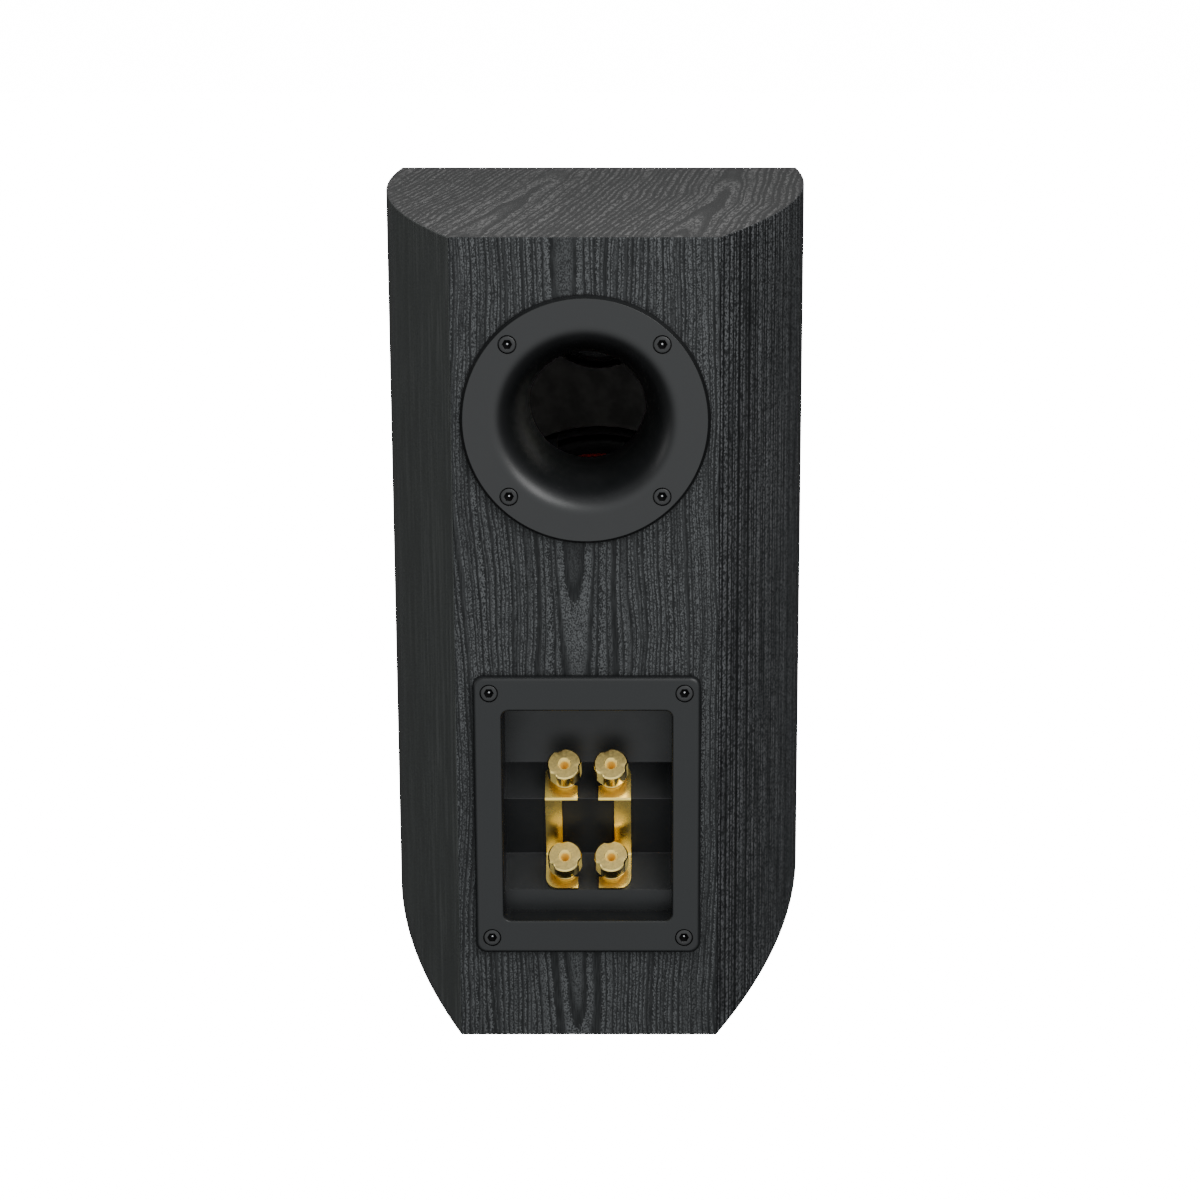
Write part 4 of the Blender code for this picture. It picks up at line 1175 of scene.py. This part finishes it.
SKY_REAR = 1.25
SKY_TOP = 0.45
SKY_FRONT = 0.12
SKY_BASE = 0.05
SKY_TINT = (0.95, 0.98, 1.0)
WHITE = (1.0, 1.0, 1.0)
BACKDROP = 16.0            # how bright the floor and the surround look to the camera
FLOOR_DROP = 0.5 * MM
FLOOR_HALF = 6.0
MIDDLE = (0, 0, HEIGHT / 2)

# Name, place, target, size in metres, power in watts, and whether it shows in reflections
LIGHTS = (
    ("key", (-0.60, 1.00, 0.95), (0, BACK_Y, 0.2), 0.75, 10, True),
    ("panel", (0.0, 0.36, 0.80), (0, BACK_Y, CUP_Z), 0.28, 2.0, False),
    ("fill", (1.3, 0.6, 0.5), MIDDLE, 0.5, 1.5, True),
    ("front", (0.7, -1.6, 1.0), MIDDLE, 1.2, 16, False),
    ("inside", (0, 0.08, 0.30), (0, FRONT_Y, 0.2), 0.03, 0.10, False))

CAMERA_PLACE = (-0.0274, BACK_Y + 1.1045, 0.4547)
CAMERA_DOWN = math.radians(13.69)
FOCAL_LENGTH = 85.38
SENSOR_WIDTH = 36.0
LENS_SHIFT = (-0.0458, -0.0005)


def area_light(name, place, target, size, power, glossy):
    light = bpy.data.lights.new(name, "AREA")
    light.shape = "SQUARE"
    light.size = size
    light.energy = power
    lamp = bpy.data.objects.new(name, light)
    bpy.context.scene.collection.objects.link(lamp)
    lamp.location = place
    lamp.rotation_euler = (Vector(target) - Vector(place)).to_track_quat("-Z", "Y").to_euler()
    lamp.visible_glossy = glossy


def make_floor():
    """A pale floor that lights nothing and shows in no reflection."""
    material, tree, shader = new_material("pale_floor")
    grey = noise(tree, node(tree, "ShaderNodeTexCoord").outputs["Object"], 3.0)
    tint = mix_colour(tree, grey, (0.80, 0.80, 0.80), (0.83, 0.83, 0.83))
    tree.links.new(tint, shader.inputs["Base Color"])
    shader.inputs["Roughness"].default_value = 0.9
    shader.inputs["Specular IOR Level"].default_value = 0.1
    shader.inputs["Emission Color"].default_value = (*WHITE, 1.0)
    shader.inputs["Emission Strength"].default_value = BACKDROP
    shape = bmesh.new()
    bmesh.ops.create_grid(shape, x_segments=1, y_segments=1, size=FLOOR_HALF)
    floor = mesh_object("floor", shape, (material,), at(z=-FLOOR_DROP))
    floor.visible_diffuse = False
    floor.visible_glossy = False


def sky_level(tree):
    """How bright the studio is in each direction, as seen by the object."""
    where = node(tree, "ShaderNodeTexCoord").outputs["Generated"]
    parts = node(tree, "ShaderNodeSeparateXYZ", {"Vector": where})
    rear, up = parts.outputs["Y"], parts.outputs["Z"]
    behind = remap(tree, rear, 0.35, 0.98, 0.0, SKY_REAR)
    above = remap(tree, up, 0.25, 0.95, 0.0, SKY_TOP)
    ahead = times(tree, remap(tree, rear, -0.4, -0.9, 0.0, SKY_FRONT),
                  remap(tree, up, 0.0, 0.2))
    return plus(tree, plus(tree, plus(tree, behind, above), ahead), SKY_BASE)


def make_sky():
    """A studio that is white to the camera and soft grey to the object."""
    world = bpy.data.worlds.new("studio")
    bpy.context.scene.world = world
    world.use_nodes = True
    tree = world.node_tree
    background = tree.nodes["Background"]
    rays = node(tree, "ShaderNodeLightPath").outputs["Is Camera Ray"]
    seen = times(tree, rays, BACKDROP)
    unseen = times(tree, minus(tree, 1.0, rays), sky_level(tree))
    tree.links.new(plus(tree, seen, unseen), background.inputs["Strength"])
    tree.links.new(mix_colour(tree, rays, SKY_TINT, WHITE), background.inputs["Color"])


def make_camera():
    """Behind the cabinet, looking down at it."""
    lens = bpy.data.cameras.new("camera")
    lens.sensor_width = SENSOR_WIDTH
    lens.lens = FOCAL_LENGTH
    lens.shift_x, lens.shift_y = LENS_SHIFT
    camera = bpy.data.objects.new("camera", lens)
    bpy.context.scene.collection.objects.link(camera)
    camera.location = CAMERA_PLACE
    camera.rotation_euler = (math.pi / 2 - CAMERA_DOWN, 0, math.pi)
    bpy.context.scene.camera = camera


make_camera()
make_wrap()
make_port()
make_cup()
make_posts()
make_woofer()
make_tweeter()
paint_cad()
make_floor()
make_sky()
for settings in LIGHTS:
    area_light(*settings)
